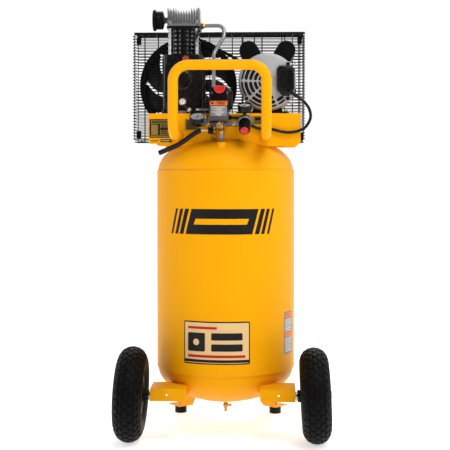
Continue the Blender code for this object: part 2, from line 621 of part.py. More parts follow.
def make_motor():
    place = (MOTOR_X, 0, MOTOR_Z)
    envelope = lathe([(0.0, -0.12), (MOTOR_R + GAP, -0.12), (MOTOR_R + GAP, 0.13), (0.0, 0.13)], 36, "Y")
    envelope = cutter("motor_envelope", envelope, at=place)
    front, split = -0.088, -0.0515
    shell = [(MOTOR_R, split), (MOTOR_R, 0.086), (0.076, 0.0975), (0.0088, 0.0975), (0.0088, 0.086),
             (0.049, 0.078), (0.049, split)]
    add("motor_shell", lathe(shell, 36, "Y", ring_solid=True), "aluminium", at=place)
    r = 0.0845
    bell = [(r, split - GAP), (r, front + 0.004), (r - 0.004, front), (0.0088, front),
            (0.0088, front + 0.007), (0.074, front + 0.007), (0.076, split - GAP)]
    bell = add("motor_front_bell", lathe(bell, 36, "Y", ring_solid=True), "aluminium", at=place)
    slots = []
    for r0, r1 in ((0.031, 0.040), (0.045, 0.054), (0.059, 0.068)):
        for start, end in ((134, 178), (186, 226), (234, 270)):
            slots.append(arc_slot(r0, r1, start, end, 2, front - 0.01, front + 0.012))
    boolean(bell, cutter("bell_slots", merge(*slots), at=place))

    spin = make_empty("motor_axis", place, parent=ASSEMBLY)
    rotor = [(0.0, front + 0.002), (0.0080, front + 0.002), (0.0080, -0.042), (0.0465, -0.042),
             (0.0465, 0.045), (0.0080, 0.045), (0.0080, BELT_Y + 0.013), (0.0, BELT_Y + 0.013)]
    add("motor_rotor", lathe(rotor, 24, "Y"), "steel", parent=spin)
    half, r = 0.012, PULLEY_R
    pulley = [(0.0084, BELT_Y - 0.017), (0.015, BELT_Y - 0.017), (0.015, BELT_Y - half),
              (r, BELT_Y - half), (r, BELT_Y - 0.0075), (r - GROOVE, BELT_Y - 0.0045),
              (r - GROOVE, BELT_Y + 0.0045), (r, BELT_Y + 0.0075), (r, BELT_Y + half),
              (0.0084, BELT_Y + half)]
    add("motor_pulley", lathe(pulley, 28, "Y", ring_solid=True), "cast_iron", parent=spin)

    for side, sign in (("left", -1), ("right", 1)):
        half = 0.0245
        cap = [(-half, 0.070), (half, 0.070)]
        cap += [(half * math.cos(a), 0.1105 + half * math.sin(a)) for a in steps(0, math.pi, 10)]
        cover = add(side + "_capacitor_cover", prism(cap, -0.048, 0.060, "Y"), "black_plastic",
                    at=place, turn=(0, sign * math.radians(30), 0))
        boolean(cover, envelope)
    x0, x1, z0, z1 = 0.151, 0.204, 0.975, 1.063
    lid = [(x0, z0 + 0.017), (x0 + 0.017, z0), (x1 - 0.016, z0), (x1, z0 + 0.017), (x1, z1 - 0.010),
           (x1 - 0.008, z1), (x0 + 0.007, z1), (x0, z1 - 0.010)]
    cover = add("terminal_cover", prism(lid, -0.108, front - 0.0006, "Y"), "black_plastic")
    soften(cover, 0.002)
    z0 = PLATFORM_Z + GAP
    foot = [(MOTOR_X - 0.066, z0), (MOTOR_X + 0.066, z0), (MOTOR_X + 0.066, z0 + 0.006),
            (MOTOR_X + 0.050, z0 + 0.032), (MOTOR_X - 0.050, z0 + 0.032), (MOTOR_X - 0.066, z0 + 0.006)]
    base = add("motor_base", prism(foot, -0.046, 0.070, "Y"), "black_paint")
    boolean(base, envelope)


def make_belt():
    """A V-belt round the flywheel and the motor pulley, riding flush with the rims."""
    big, small = Vector((PUMP_X, SHAFT_Z)), Vector((MOTOR_X, MOTOR_Z))
    reach = small - big
    lean = math.atan2(reach.y, reach.x)
    wrap = math.acos((FLYWHEEL_R - PULLEY_R) / reach.length)

    def loop(inset):
        points = []
        for centre, radius, start, end, count in (
                (big, FLYWHEEL_R, lean + wrap, lean + 2 * math.pi - wrap, 30),
                (small, PULLEY_R, lean - wrap, lean + wrap, 12)):
            for a in steps(start, end, count):
                points.append(centre + Vector((math.cos(a), math.sin(a))) * (radius - inset))
        return points

    outer, inner = loop(0.0015), loop(0.0095)
    rings = []
    for out, deep in zip(outer, inner):
        rings.append([(out.x, BELT_Y - 0.0065, out.y), (out.x, BELT_Y + 0.0065, out.y),
                      (deep.x, BELT_Y + 0.0042, deep.y), (deep.x, BELT_Y - 0.0042, deep.y)])
    add("v_belt", loft(rings, ring_solid=True), "rubber")


def make_guard():
    """Two halves: a flat front lattice round the shafts and a basket behind the drive."""
    x0, x1, z0, z1 = GUARD_LEFT, GUARD_RIGHT, GUARD_LOW, GUARD_TOP
    middle = ((x0 + x1) / 2, (z0 + z1) / 2)
    outline = rounded((x1 - x0) / 2, (z1 - z0) / 2, 0.018, 3, middle)
    front = add("guard_front", prism(outline, GUARD_FRONT, GUARD_FRONT + 0.003, "Y"), "black_paint")
    rear = add("guard_rear", prism(outline, GUARD_FRONT + 0.0033, GUARD_BACK, "Y"), "black_paint")
    inside = rounded((x1 - x0) / 2 - 0.003, (z1 - z0) / 2 - 0.003, 0.015, 3, middle)
    hollow = prism(inside, GUARD_FRONT - 0.01, GUARD_BACK - 0.003, "Y")
    boolean(rear, cutter("guard_hollow", hollow))
    rows, columns, bar = 8, 3, 0.006
    pitch_z = (z1 - z0 - 0.012) / rows
    pitch_x = (x1 - x0 - 0.012) / columns
    slots = []
    for row in range(rows):
        for column in range(columns):
            left = x0 + 0.009 + column * pitch_x
            low = z0 + 0.009 + row * pitch_z
            slots.append(box((left, 0, low), (left + pitch_x - bar, 0.02, low + pitch_z - bar)))
    slots = merge(*slots)
    back_slots = slots.copy()
    boolean(rear, cutter("guard_back_slots", back_slots, at=(0, GUARD_BACK - 0.01, 0)))
    boolean(front, cutter("guard_front_slots", slots, at=(0, GUARD_FRONT - 0.008, 0)))
    for name, x, z in (("crank", PUMP_X, SHAFT_Z), ("motor", MOTOR_X, MOTOR_Z)):
        hole = lathe([(0.0, 0.0), (0.040, 0.0), (0.040, 0.02), (0.0, 0.02)], 24, "Y")
        boolean(front, cutter("guard_hole_" + name, hole, at=(x, GUARD_FRONT - 0.008, z)))


# Controls -----------------------------------------------------------------------------------------

def make_switch():
    pipe = [(0.0, 0.8413), (0.0075, 0.8413), (0.0075, 0.876), (0.0062, 0.878), (0.0062, 0.8846),
            (0.0, 0.8846)]
    add("standpipe", lathe(pipe, 16), "steel", at=(STAND_X, STAND_Y, 0))
    bar = [(0.0, -0.0495), (0.0060, -0.0495), (0.0060, -0.0400), (MANIFOLD_R, -0.0395),
           (MANIFOLD_R, 0.0220), (0.0058, 0.0225), (0.0058, 0.0386), (0.0, 0.0386)]
    add("manifold", lathe(bar, 16, "X"), "dark_grey", at=(0, STAND_Y, MANIFOLD_Z))
    x0, x1, y0, y1 = -0.040, 0.014, -0.168, -0.1175
    base = add("switch_base", box((x0, y0, 0.9013), (x1, y1, 0.929)), "dark_grey")
    # a lug behind the right half carries the cord's gland past the regulator
    lug = cutter("gland_lug", box((x1 - 0.024, y1 - 0.002, 0.9045), (x1, -0.1020, 0.9195)))
    boolean(base, lug, "UNION")
    out, thick, thin = 0.008, MOTOR_CORD_R + 0.0015, MOTOR_CORD_R + 0.0008
    gland = lathe([(0.0, x1 - 0.002), (thick, x1 - 0.002), (thick, x1 + 0.004), (thin, x1 + 0.005),
                   (thin, x1 + out), (0.0, x1 + out)], 16, "X")
    cord_start = MOTOR_CORD_ROUTE[0]
    boolean(base, cutter("cord_gland", gland, at=(0, cord_start[1], cord_start[2])), "UNION")
    cover = add("switch_cover", box((x0 - 0.001, y0 - 0.001, 0.9293), (x1 + 0.001, y1, 0.998)),
                "black_plastic")
    soften(cover, 0.003, 2)
    pivot = make_empty("switch_knob_axis", (-0.0105, y0 - 0.001, 0.9935), parent=ASSEMBLY)
    dee = [(0.016 * math.cos(a), 0.016 * math.sin(a))
           for a in steps(math.radians(160), math.radians(380), 12)]
    add("switch_knob", prism(dee, -0.013, -GAP, "Y"), "red", parent=pivot)

    valve = [(0.0, -0.0280), (0.0030, -0.0280), (0.0030, -0.0200), (0.0050, -0.0195),
             (0.0058, -0.0160), (0.0058, -0.0040), (0.0045, -0.0035), (0.0045, 0.0), (0.0, 0.0)]
    front = STAND_Y - MANIFOLD_R - GAP
    add("safety_valve_body", lathe(valve, 14, "Y"), "brass", at=(-0.0125, front, MANIFOLD_Z))
    pull = make_empty("safety_ring_axis", (-0.0125, front - 0.0283, MANIFOLD_Z), parent=ASSEMBLY)
    ring_y, ring_r, wire = -0.0012, 0.0062, 0.0009
    rings = []
    for angle in steps(0, 2 * math.pi, 16)[:-1]:
        centre = Vector((math.cos(angle), 0, math.sin(angle)))
        ring = []
        for turn in steps(0, 2 * math.pi, 6)[:-1]:
            spot = centre * (ring_r + wire * math.cos(turn)) + Vector((0, wire * math.sin(turn), 0))
            ring.append(spot + Vector((0, ring_y, -ring_r + 0.0010)))
        rings.append(ring)
    add("safety_ring", loft(rings, ring_solid=True), "steel", parent=pull)


def make_air_line():
    """Discharge tube from the head to the check valve on the tank."""
    x, y = -0.030, -0.1115
    body = [(0.0, 0.846), (0.0090, 0.846), (0.0090, 0.866), (0.0070, 0.868), (0.0070, 0.879),
            (0.0, 0.879)]
    valve = add("check_valve", lathe(body, 16), "brass", at=(x, y, 0))
    boolean(valve, bpy.data.objects["tank_envelope"])
    head_x = PUMP_X + PLATE_HALF + GAP
    route = [(head_x, -0.045, 1.1845), (0.004, -0.048, 1.1845), (0.002, -0.070, 1.151),
             (x, y, 1.098), (x, y, 0.8793)]
    tube("discharge_tube", round_corners(route, 0.018, 5), 0.0055, "aluminium", 2)


def make_regulator():
    along = Vector((0, -math.cos(math.radians(33)), -math.sin(math.radians(33))))
    centre = Vector((0.060, -0.132, 0.9015))
    body = [(0.0, -0.016), (0.0130, -0.016), (0.0165, -0.0110), (0.0165, -0.004), (0.021, -0.0035),
            (0.021, 0.010), (0.019, 0.012), (0.0, 0.012)]
    add("regulator_body", lathe(body, 24, tuple(along)), "aluminium", at=centre)
    pivot = make_empty("regulator_axis", centre, parent=ASSEMBLY)
    knob = [(0.0, 0.0124), (0.0172, 0.0124), (0.0175, 0.016), (0.0160, 0.050), (0.0145, 0.053),
            (0.0118, 0.0535), (0.0112, 0.0575), (0.0, 0.0590)]
    add("regulator_knob", lathe(knob, 24, tuple(along)), "black_plastic", parent=pivot)


def make_gauge(name, centre, radius, depth, tilt, stem_length):
    """A case with a recessed face, a stem behind it, and a needle on a spindle in the recess."""
    normal = Vector((0, -math.cos(math.radians(tilt)), math.sin(math.radians(tilt))))
    rim, floor = radius - 0.0022, -0.0045
    case = [(0.0, floor), (rim, floor), (rim, -0.0008), (rim + 0.0008, 0.0), (radius, -0.0015),
            (radius, -depth + 0.004), (radius - 0.003, -depth), (0.005, -depth),
            (0.005, -depth - stem_length), (0.0, -depth - stem_length)]
    add(name + "_case", lathe(case, 20, tuple(normal)), "black_plastic", at=centre)
    pivot = make_empty(name + "_axis", centre, parent=ASSEMBLY)
    pivot.rotation_euler = (math.radians(90 - tilt), 0, 0)
    reach = rim * 0.78
    turn = math.radians(225)
    needle = [(-0.0035, -0.0008), (-0.0035, 0.0008), (reach * 0.9, 0.0005), (reach, 0.0),
              (reach * 0.9, -0.0005)]
    bm = prism(needle, floor + 0.0012, floor + 0.0020)
    bm.transform(Matrix.Rotation(turn, 4, "Z"))
    hand = add(name + "_needle", bm, "black_plastic", parent=pivot)
    hub = lathe([(0.0, floor + 0.0004), (0.0022, floor + 0.0004), (0.0022, floor + 0.0026),
                 (0.0, floor + 0.0026)], 12)
    boolean(hand, cutter(name + "_hub", hub, parent=pivot), "UNION")



def make_cords():
    tube("motor_cord", smooth_route(MOTOR_CORD_ROUTE, 2), MOTOR_CORD_R, "rubber", 2)
    tube("bleed_hose", smooth_route(HOSE_ROUTE, 2), HOSE_R, "rubber", 2)
    fitting = [(0.0, 0.0012), (0.0050, 0.0012), (0.0050, 0.0200), (0.0090, 0.0205),
               (0.0090, 0.0360), (0.0060, 0.0380), (0.0, 0.0380)]
    add("hose_fitting", lathe(fitting, 12, "X"), "black_plastic", at=HOSE_ROUTE[0])


def build():
    envelope = tank_envelope()
    make_tank()
    make_drain()
    for side, sign in (("left", -1), ("right", 1)):
        make_wheel(side, sign, envelope)
        make_foot(side, sign, envelope)
    make_platform(envelope)
    make_handle()
    make_crankcase()
    make_cylinder()
    make_cylinder_head()
    make_crank()
    make_motor()
    make_belt()
    make_guard()
    make_switch()
    make_air_line()
    make_regulator()
    make_gauge("tank_gauge", Vector((-0.0745, -0.134, 0.917)), 0.0245, 0.027, 58, 0.004)
    make_gauge("outlet_gauge", Vector((0.060, -0.145, 0.948)), 0.0205, 0.022, 67, 0.007)
    make_cords()


clear_scene()
make_materials()
ASSEMBLY = make_empty("assembly", (0, TANK_Y, 0))
build()
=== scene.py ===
"""The finished look of the vertical tank compressor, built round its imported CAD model.

Places are in metres in the CAD layout, whose Y runs from the tank's own axis; HOME moves a piece
from there to the frame. Each section below makes one group of pieces, and each piece rides on a body.
"""
import json
import math

import bmesh
import bpy
from mathutils import Matrix, Vector

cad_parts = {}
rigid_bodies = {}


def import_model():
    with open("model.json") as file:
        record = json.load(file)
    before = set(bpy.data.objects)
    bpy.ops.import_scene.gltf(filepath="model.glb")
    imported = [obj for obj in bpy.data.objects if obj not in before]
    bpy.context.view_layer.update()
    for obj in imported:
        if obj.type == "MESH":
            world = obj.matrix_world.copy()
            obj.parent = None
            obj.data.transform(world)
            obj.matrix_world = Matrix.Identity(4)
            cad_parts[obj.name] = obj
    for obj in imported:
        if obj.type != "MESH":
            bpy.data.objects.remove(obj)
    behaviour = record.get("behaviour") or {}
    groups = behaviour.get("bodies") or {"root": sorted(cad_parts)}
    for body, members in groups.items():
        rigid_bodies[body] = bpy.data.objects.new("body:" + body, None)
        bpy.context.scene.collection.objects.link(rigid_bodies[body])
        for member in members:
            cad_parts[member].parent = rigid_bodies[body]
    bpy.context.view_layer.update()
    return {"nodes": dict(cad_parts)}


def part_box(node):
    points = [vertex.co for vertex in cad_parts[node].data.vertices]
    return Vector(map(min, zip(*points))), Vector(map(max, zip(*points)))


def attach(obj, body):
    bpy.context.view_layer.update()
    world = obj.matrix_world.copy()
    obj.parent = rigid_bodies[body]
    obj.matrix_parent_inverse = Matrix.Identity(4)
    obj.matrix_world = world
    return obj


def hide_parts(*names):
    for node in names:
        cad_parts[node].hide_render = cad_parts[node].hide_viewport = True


for spare in list(bpy.data.objects):
    bpy.data.objects.remove(spare)

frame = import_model()

SHELL_LOW, SHELL_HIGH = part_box("tank_shell")
TANK_AXIS = (SHELL_LOW + SHELL_HIGH) / 2
TANK_R = (SHELL_HIGH.x - SHELL_LOW.x) / 2
SEAM_LOW, SEAM_TOP = SHELL_LOW.z, SHELL_HIGH.z
HEAD_R = TANK_R - 0.0028
HEAD_DEPTH = 0.105
OFFSET = Vector((0, TANK_AXIS.y, 0))
HOME = Matrix.Translation(OFFSET)
TAU = 2 * math.pi
TO_FRONT = (0, -1, 0)   # the way a screw or a dial in the front faces
SHEET = 0.003           # thickness of the folded steel
BELT_Y = 0.155          # the belt's middle plane


def area(node):
    """The lowest and highest corner of a CAD node, in the layout."""
    low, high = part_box(node)
    return low - OFFSET, high - OFFSET


def middle(node):
    """The centre of a CAD node, in the layout."""
    low, high = area(node)
    return (low + high) / 2


# Mesh tools ---------------------------------------------------------------------------------------

def steps(low, high, count):
    """count + 1 evenly spaced values from low to high."""
    return [low + (high - low) * i / count for i in range(count + 1)]


def turns(count):
    """count evenly spaced angles round a full turn."""
    return [TAU * i / count for i in range(count)]


def facing(axis):
    """The rotation that takes +Z to the named axis or to a direction."""
    if axis == "X":
        return Matrix.Rotation(math.pi / 2, 4, "Y")
    if axis == "Y":
        return Matrix.Rotation(-math.pi / 2, 4, "X")
    if axis == "Z":
        return Matrix.Identity(4)
    return Vector(axis).to_track_quat("Z", "Y").to_matrix().to_4x4()


def moved(bm, at=(0, 0, 0), turn=None):
    """The same shape, turned about the origin and then shifted."""
    if turn is not None:
        bm.transform(turn)
    bm.transform(Matrix.Translation(at))
    return bm


def loft(rings, closed=False):
    """A skin over rings of points; a ring of one point is a pole, and closed joins the ends."""
    bm = bmesh.new()
    made = [[bm.verts.new(point) for point in ring] for ring in rings]
    pairs = list(zip(made, made[1:]))
    if closed:
        pairs.append((made[-1], made[0]))
    for one, two in pairs:
        count = max(len(one), len(two))
        for i in range(count):
            j = (i + 1) % count
            if len(one) == 1:
                bm.faces.new((one[0], two[i], two[j]))
            elif len(two) == 1:
                bm.faces.new((one[i], one[j], two[0]))
            else:
                bm.faces.new((one[i], one[j], two[j], two[i]))
    if not closed:
        for end in (made[0], made[-1]):
            if len(end) > 1:
                bm.faces.new(end)
    return bm


def polar(reach, a, centre=(0.0, 0.0)):
    """The flat point at that reach and angle from a centre."""
    return centre[0] + reach * math.cos(a), centre[1] + reach * math.sin(a)


def circle(radius, sides, centre=(0.0, 0.0)):
    """The corners of a regular polygon."""
    return [polar(radius, a, centre) for a in turns(sides)]


def lathe(profile, sides=48, axis="Z", at=(0, 0, 0), closed=False):
    """A turned shape; profile holds (radius, height) points along its outline."""
    rings = [[(u, v, h) for u, v in circle(r, sides)] if r > 1e-6 else [(0, 0, h)] for r, h in profile]
    return moved(loft(rings, closed), at, facing(axis))


def drum(radius, low, high, sides=48, axis="Z", at=(0, 0, 0)):
    """A plain cylinder."""
    return lathe([(0, low), (radius, low), (radius, high), (0, high)], sides, axis, at)


def prism(outline, low, high, axis="Z", at=(0, 0, 0)):
    """An outline pushed from low to high: (x, y) for Z, (x, z) for Y and (y, z) for X."""
    place = {"Z": lambda u, v, h: (u, v, h), "Y": lambda u, v, h: (u, h, v), "X": lambda u, v,
        h: (h, u, v)}[axis]
    return moved(loft([[place(u, v, h) for u, v in outline] for h in (low, high)]), at)


def block(low, high):
    """A box between two corners."""
    return prism([(low[0], low[1]), (high[0], low[1]), (high[0], high[1]), (low[0], high[1])], low[2],
        high[2])


def rounded(half_u, half_v, radius, arc=6, centre=(0.0, 0.0)):
    """A rectangle with round corners."""
    points = []
    for su, sv, start in ((1, 1, 0), (-1, 1, 90), (-1, -1, 180), (1, -1, 270)):
        for angle in steps(math.radians(start), math.radians(start + 90), arc):
            points.append((centre[0] + su * (half_u - radius) + radius * math.cos(angle),
                centre[1] + sv * (half_v - radius) + radius * math.sin(angle)))
    return points


def framed(u0, u1, v0, v1, radius, arc=6, inset=0.0):
    """A rectangle with round corners between two limits each way, made smaller by inset."""
    return rounded((u1 - u0) / 2 - inset, (v1 - v0) / 2 - inset, radius, arc,
        ((u0 + u1) / 2, (v0 + v1) / 2))


def join(*parts):
    """All the shapes in one, each left whole."""
    whole = bmesh.new()
    for part in parts:
        bmesh.ops.recalc_face_normals(part, faces=part.faces)
        mesh = bpy.data.meshes.new("part")
        part.to_mesh(mesh)
        part.free()
        whole.from_mesh(mesh)
        bpy.data.meshes.remove(mesh)
    return whole


def carve(bm, *tools):
    """bm with each tool's shape cut away."""
    made = []
    for shape in (bm, *tools):
        bmesh.ops.recalc_face_normals(shape, faces=shape.faces)
        mesh = bpy.data.meshes.new("carve")
        shape.to_mesh(mesh)
        shape.free()
        obj = bpy.data.objects.new("carve", mesh)
        bpy.context.scene.collection.objects.link(obj)
        made.append(obj)
    for tool in made[1:]:
        modifier = made[0].modifiers.new("Boolean", "BOOLEAN")
        modifier.operation = "DIFFERENCE"
        modifier.solver = "EXACT"
        modifier.object = tool
    bpy.context.view_layer.update()
    done = made[0].evaluated_get(bpy.context.evaluated_depsgraph_get())
    result = bmesh.new()
    result.from_mesh(done.to_mesh())
    done.to_mesh_clear()
    for obj in made:
        mesh = obj.data
        bpy.data.objects.remove(obj)
        bpy.data.meshes.remove(mesh)
    return result


def arcs(points, radius, count=8):
    """A path whose inner corners are replaced by arcs of that radius."""
    points = [Vector(p) for p in points]
    path = [points[0]]
    for before, corner, after in zip(points, points[1:], points[2:]):
        to_start = (before - corner).normalized()
        to_end = (after - corner).normalized()
        half = to_start.angle(to_end) / 2
        reach = radius / math.tan(half)
        centre = corner + (to_start + to_end).normalized() * radius / math.sin(half)
        start = (corner + to_start * reach - centre).normalized()
        end = (corner + to_end * reach - centre).normalized()
        path += [centre + start.slerp(end, share).normalized() * radius for share in steps(0, 1, count)]
    path.append(points[-1])
    return path


def smooth_route(points, count):
    """A smooth curve through the points, count steps to a span."""
    points = [Vector(p) for p in points]
    ends = [points[0] * 2 - points[1]] + points + [points[-1] * 2 - points[-2]]
    path = []
    for a, b, c, d in zip(ends, ends[1:], ends[2:], ends[3:]):
        for i in range(count):
            t = i / count
            path.append(0.5 * (2 * b + (c - a) * t + (2 * a - 5 * b + 4 * c - d) * t ** 2
                + (3 * b - a - 3 * c + d) * t ** 3))
    path.append(points[-1])
    return path


# Pieces -------------------------------------------------------------------------------------------

def settle(obj, material, body, slot, stands_for):
    """Links a made object, and gives it its material, body and the CAD nodes it replaces; slot is not used.
    """
    bpy.context.scene.collection.objects.link(obj)
    obj.data.materials.append(material)
    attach(obj, body)
    if stands_for:
        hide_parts(*([stands_for] if isinstance(stands_for, str) else stands_for))
    return obj


def piece(name, bm, material, slot, stands_for=(), body="root", bevel=0.0, segments=2, crease=35):
    """A mesh piece whose bm is in the layout; bevel rounds its sharp edges."""
    bm.transform(HOME)
    bmesh.ops.recalc_face_normals(bm, faces=bm.faces)
    mesh = bpy.data.meshes.new(name)
    bm.to_mesh(mesh)
    bm.free()
    mesh.shade_smooth()
    mesh.set_sharp_from_angle(angle=math.radians(crease))
    obj = settle(bpy.data.objects.new(name, mesh), material, body, slot, stands_for)
    if bevel:
        modifier = obj.modifiers.new("Bevel", "BEVEL")
        modifier.width = bevel
        modifier.segments = segments
        modifier.limit_method = "ANGLE"
        modifier.angle_limit = math.radians(crease)
        modifier.harden_normals = True
    return obj


def repaint(node, material):
    """A CAD node that stays in the picture gets a made material."""
    mesh = frame["nodes"][node].data
    mesh.materials.clear()
    mesh.materials.append(material)


def rods(name, paths, radius, material, slot, stands_for=(), body="root", resolution=3, cyclic=False):
    """Round bars along paths in the layout, all in one curve object."""
    curve = bpy.data.curves.new(name, "CURVE")
    curve.dimensions = "3D"
    curve.bevel_depth = radius
    curve.bevel_resolution = resolution
    curve.use_fill_caps = True
    for path in paths:
        spline = curve.splines.new("POLY")
        spline.points.add(len(path) - 1)
        for point, place in zip(spline.points, path):
            point.co = (*(Vector(place) + OFFSET), 1.0)
        spline.use_smooth = True
        spline.use_cyclic_u = cyclic
    return settle(bpy.data.objects.new(name, curve), material, body, slot, stands_for)


def hexagon(radius, low, high, axis="Z", at=(0, 0, 0), chamfer=0.12):
    """A hexagonal nut or head with turned-off corners."""
    flat = circle(radius, 6)
    small = circle(radius * (1 - chamfer), 6)
    edge = (high - low) * 0.16
    rings = [[(u, v, low) for u, v in small], [(u, v, low + edge) for u, v in flat],
        [(u, v, high - edge) for u, v in flat], [(u, v, high) for u, v in small]]
    return moved(loft(rings), at, facing(axis))


def bolt(at, axis, radius, height=None, washer=True, stud=0.0):
    """A hex head on a washer, with the bolt's end standing out by stud."""
    height = height or radius * 0.75
    start = 0.0
    parts = []
    if washer:
        start = radius * 0.18
        parts.append(drum(radius * 1.3, 0, start, 24, axis, at))
    parts.append(hexagon(radius, start, start + height, axis, at))
    if stud:
        end = start + height + stud
        parts.append(lathe([(0, start), (radius * 0.5, start), (radius * 0.5, end - radius * 0.1),
            (radius * 0.4, end), (0, end)], 16, axis, at))
    return join(*parts)


def screw_head(at, axis, radius):
    """A pan head with a cross recess."""
    height = radius * 0.6
    dome = [(radius * math.cos(a), height * math.sin(a)) for a in steps(0, math.pi / 2, 5)][:-1]
    head = lathe([(0, -0.0003), (radius, -0.0003)] + dome + [(0, height)], 20, "Z")
    arm, wide = radius * 0.62, radius * 0.13
    cross = [block((-u, -v, height * 0.45), (u, v, height * 2)) for u, v in ((arm, wide), (wide, arm))]
    return moved(carve(head, *cross), at, facing(axis))


def ring_bead(radius, centre_z, thick, ripples, sides=360, at=(0, 0)):
    """A welded seam round the tank's axis, with the ripples of a weld."""
    rings = []
    for a in turns(sides):
        local = thick * (1 + 0.16 * abs(math.sin(ripples * a / 2)))
        ring = []
        for turn in steps(0, TAU, 8)[:-1]:
            r = radius + local * 0.62 * math.cos(turn)
            ring.append((at[0] + r * math.cos(a), at[1] + r * math.sin(a),
                centre_z + local * math.sin(turn)))
        rings.append(ring)
    return loft(rings, closed=True)


def envelope(grow=0.0, sides=128):
    """The tank's outside, to fit what is welded to it."""
    reach, deep = HEAD_R + 0.0004 + grow, HEAD_DEPTH + 0.0004 + grow
    low = [(reach * math.sin(a), SEAM_LOW - deep * math.cos(a)) for a in steps(0, math.pi / 2, 18)]
    top = [(reach * math.cos(a), SEAM_TOP + deep * math.sin(a)) for a in steps(0, math.pi / 2, 18)]
    return lathe(low + [(TANK_R + 0.0004, SEAM_LOW), (TANK_R + 0.0004, SEAM_TOP)] + top, sides)


def wrap(bm, lift):
    """Bends a flat label, drawn as (x along the skin, z), round the tank and lifts it off the skin."""
    span = math.radians(3)
    edges = [v.co.x / TANK_R for v in bm.verts]
    for i in range(math.ceil(min(edges) / span), math.floor(max(edges) / span) + 1):
        bmesh.ops.bisect_plane(bm, geom=bm.verts[:] + bm.edges[:] + bm.faces[:],
            plane_co=(i * span * TANK_R, 0, 0), plane_no=(1, 0, 0))
    for v in bm.verts:
        angle, reach = v.co.x / TANK_R, TANK_R + lift - v.co.y
        v.co = (reach * math.sin(angle), -reach * math.cos(angle), v.co.z)
    return bm


# Materials ----------------------------------------------------------------------------------------

def fill(node, values):
    """Sets a shader node's inputs by their names."""
    for socket, value in values.items():
        node.inputs[socket].default_value = value


def surface(name, colour, rough, metal=0.0, tint=None, patch=7.0, rough_spread=0.06, grain=500.0, bump=0.15,
        depth=0.0002, stretch=(1, 1, 1), coat=0.0, coat_rough=0.06, detail=4.0, specular=0.5, cells=None,
        dust=None, sheen=0.0, glint=None):
    """A Principled material with patchy colour, uneven gloss and a fine relief."""
    made = bpy.data.materials.new(name)
    made.use_nodes = True
    nodes, links = made.node_tree.nodes, made.node_tree.links
    shader = nodes["Principled BSDF"]
    fill(shader, {"Metallic": metal, "Coat Weight": coat, "Coat Roughness": coat_rough,
        "Specular IOR Level": specular, "Sheen Weight": sheen})
    if glint:
        shader.inputs["Specular Tint"].default_value = (*glint, 1)
    place = nodes.new("ShaderNodeTexCoord")
    scale = nodes.new("ShaderNodeMapping")
    scale.inputs["Scale"].default_value = stretch
    links.new(place.outputs["Object"], scale.inputs["Vector"])

    def noise(size, octaves, rough_step=0.55):
        made_noise = nodes.new("ShaderNodeTexNoise")
        fill(made_noise, {"Scale": size, "Detail": octaves, "Roughness": rough_step})
        links.new(scale.outputs["Vector"], made_noise.inputs["Vector"])
        return made_noise.outputs["Fac"]

    broad, fine = noise(patch, 4.0, 0.6), noise(grain, detail)
    tint = tint or tuple(c * 0.86 for c in colour)
    blend = nodes.new("ShaderNodeMix")
    blend.data_type = "RGBA"
    ramp = nodes.new("ShaderNodeMapRange")
    fill(ramp, {"From Min": 0.35, "From Max": 0.68})
    links.new(broad, ramp.inputs["Value"])
    links.new(ramp.outputs["Result"], blend.inputs["Factor"])
    fill(blend, {"A": (*colour, 1), "B": (*tint, 1)})
    base = blend.outputs["Result"]
    if dust:
        shape = nodes.new("ShaderNodeNewGeometry")
        split = nodes.new("ShaderNodeSeparateXYZ")
        up = nodes.new("ShaderNodeMapRange")
        fill(up, {"From Min": 0.2, "To Max": 0.45})
        links.new(shape.outputs["Normal"], split.inputs["Vector"])
        links.new(split.outputs["Z"], up.inputs["Value"])
        mixed = nodes.new("ShaderNodeMath")
        mixed.operation = "MULTIPLY"
        links.new(up.outputs["Result"], mixed.inputs[0])
        links.new(fine, mixed.inputs[1])
        over = nodes.new("ShaderNodeMix")
        over.data_type = "RGBA"
        over.inputs["B"].default_value = (*dust, 1)
        links.new(mixed.outputs["Value"], over.inputs["Factor"])
        links.new(base, over.inputs["A"])
        base = over.outputs["Result"]
    links.new(base, shader.inputs["Base Color"])
    gloss = nodes.new("ShaderNodeMapRange")
    fill(gloss, {"From Min": 0.3, "From Max": 0.7, "To Min": max(0.02, rough - rough_spread),
        "To Max": min(1.0, rough + rough_spread)})
    links.new(noise(patch * 6, 5.0), gloss.inputs["Value"])
    links.new(gloss.outputs["Result"], shader.inputs["Roughness"])
    relief = nodes.new("ShaderNodeBump")
    fill(relief, {"Strength": bump, "Distance": depth})
    links.new(fine, relief.inputs["Height"])
    if cells:
        pits = nodes.new("ShaderNodeTexVoronoi")
        pits.inputs["Scale"].default_value = cells
        links.new(scale.outputs["Vector"], pits.inputs["Vector"])
        second = nodes.new("ShaderNodeBump")
        fill(second, {"Strength": bump, "Distance": depth * 1.5})
        links.new(pits.outputs["Distance"], second.inputs["Height"])
        links.new(relief.outputs["Normal"], second.inputs["Normal"])
        relief = second
    links.new(relief.outputs["Normal"], shader.inputs["Normal"])
    return made


def glass(name, colour, rough):
    """A clear material for the lenses of the gauges."""
    made = surface(name, colour, rough, bump=0.02)
    shader = made.node_tree.nodes["Principled BSDF"]
    fill(shader, {"Transmission Weight": 1.0, "IOR": 1.1})
    return made


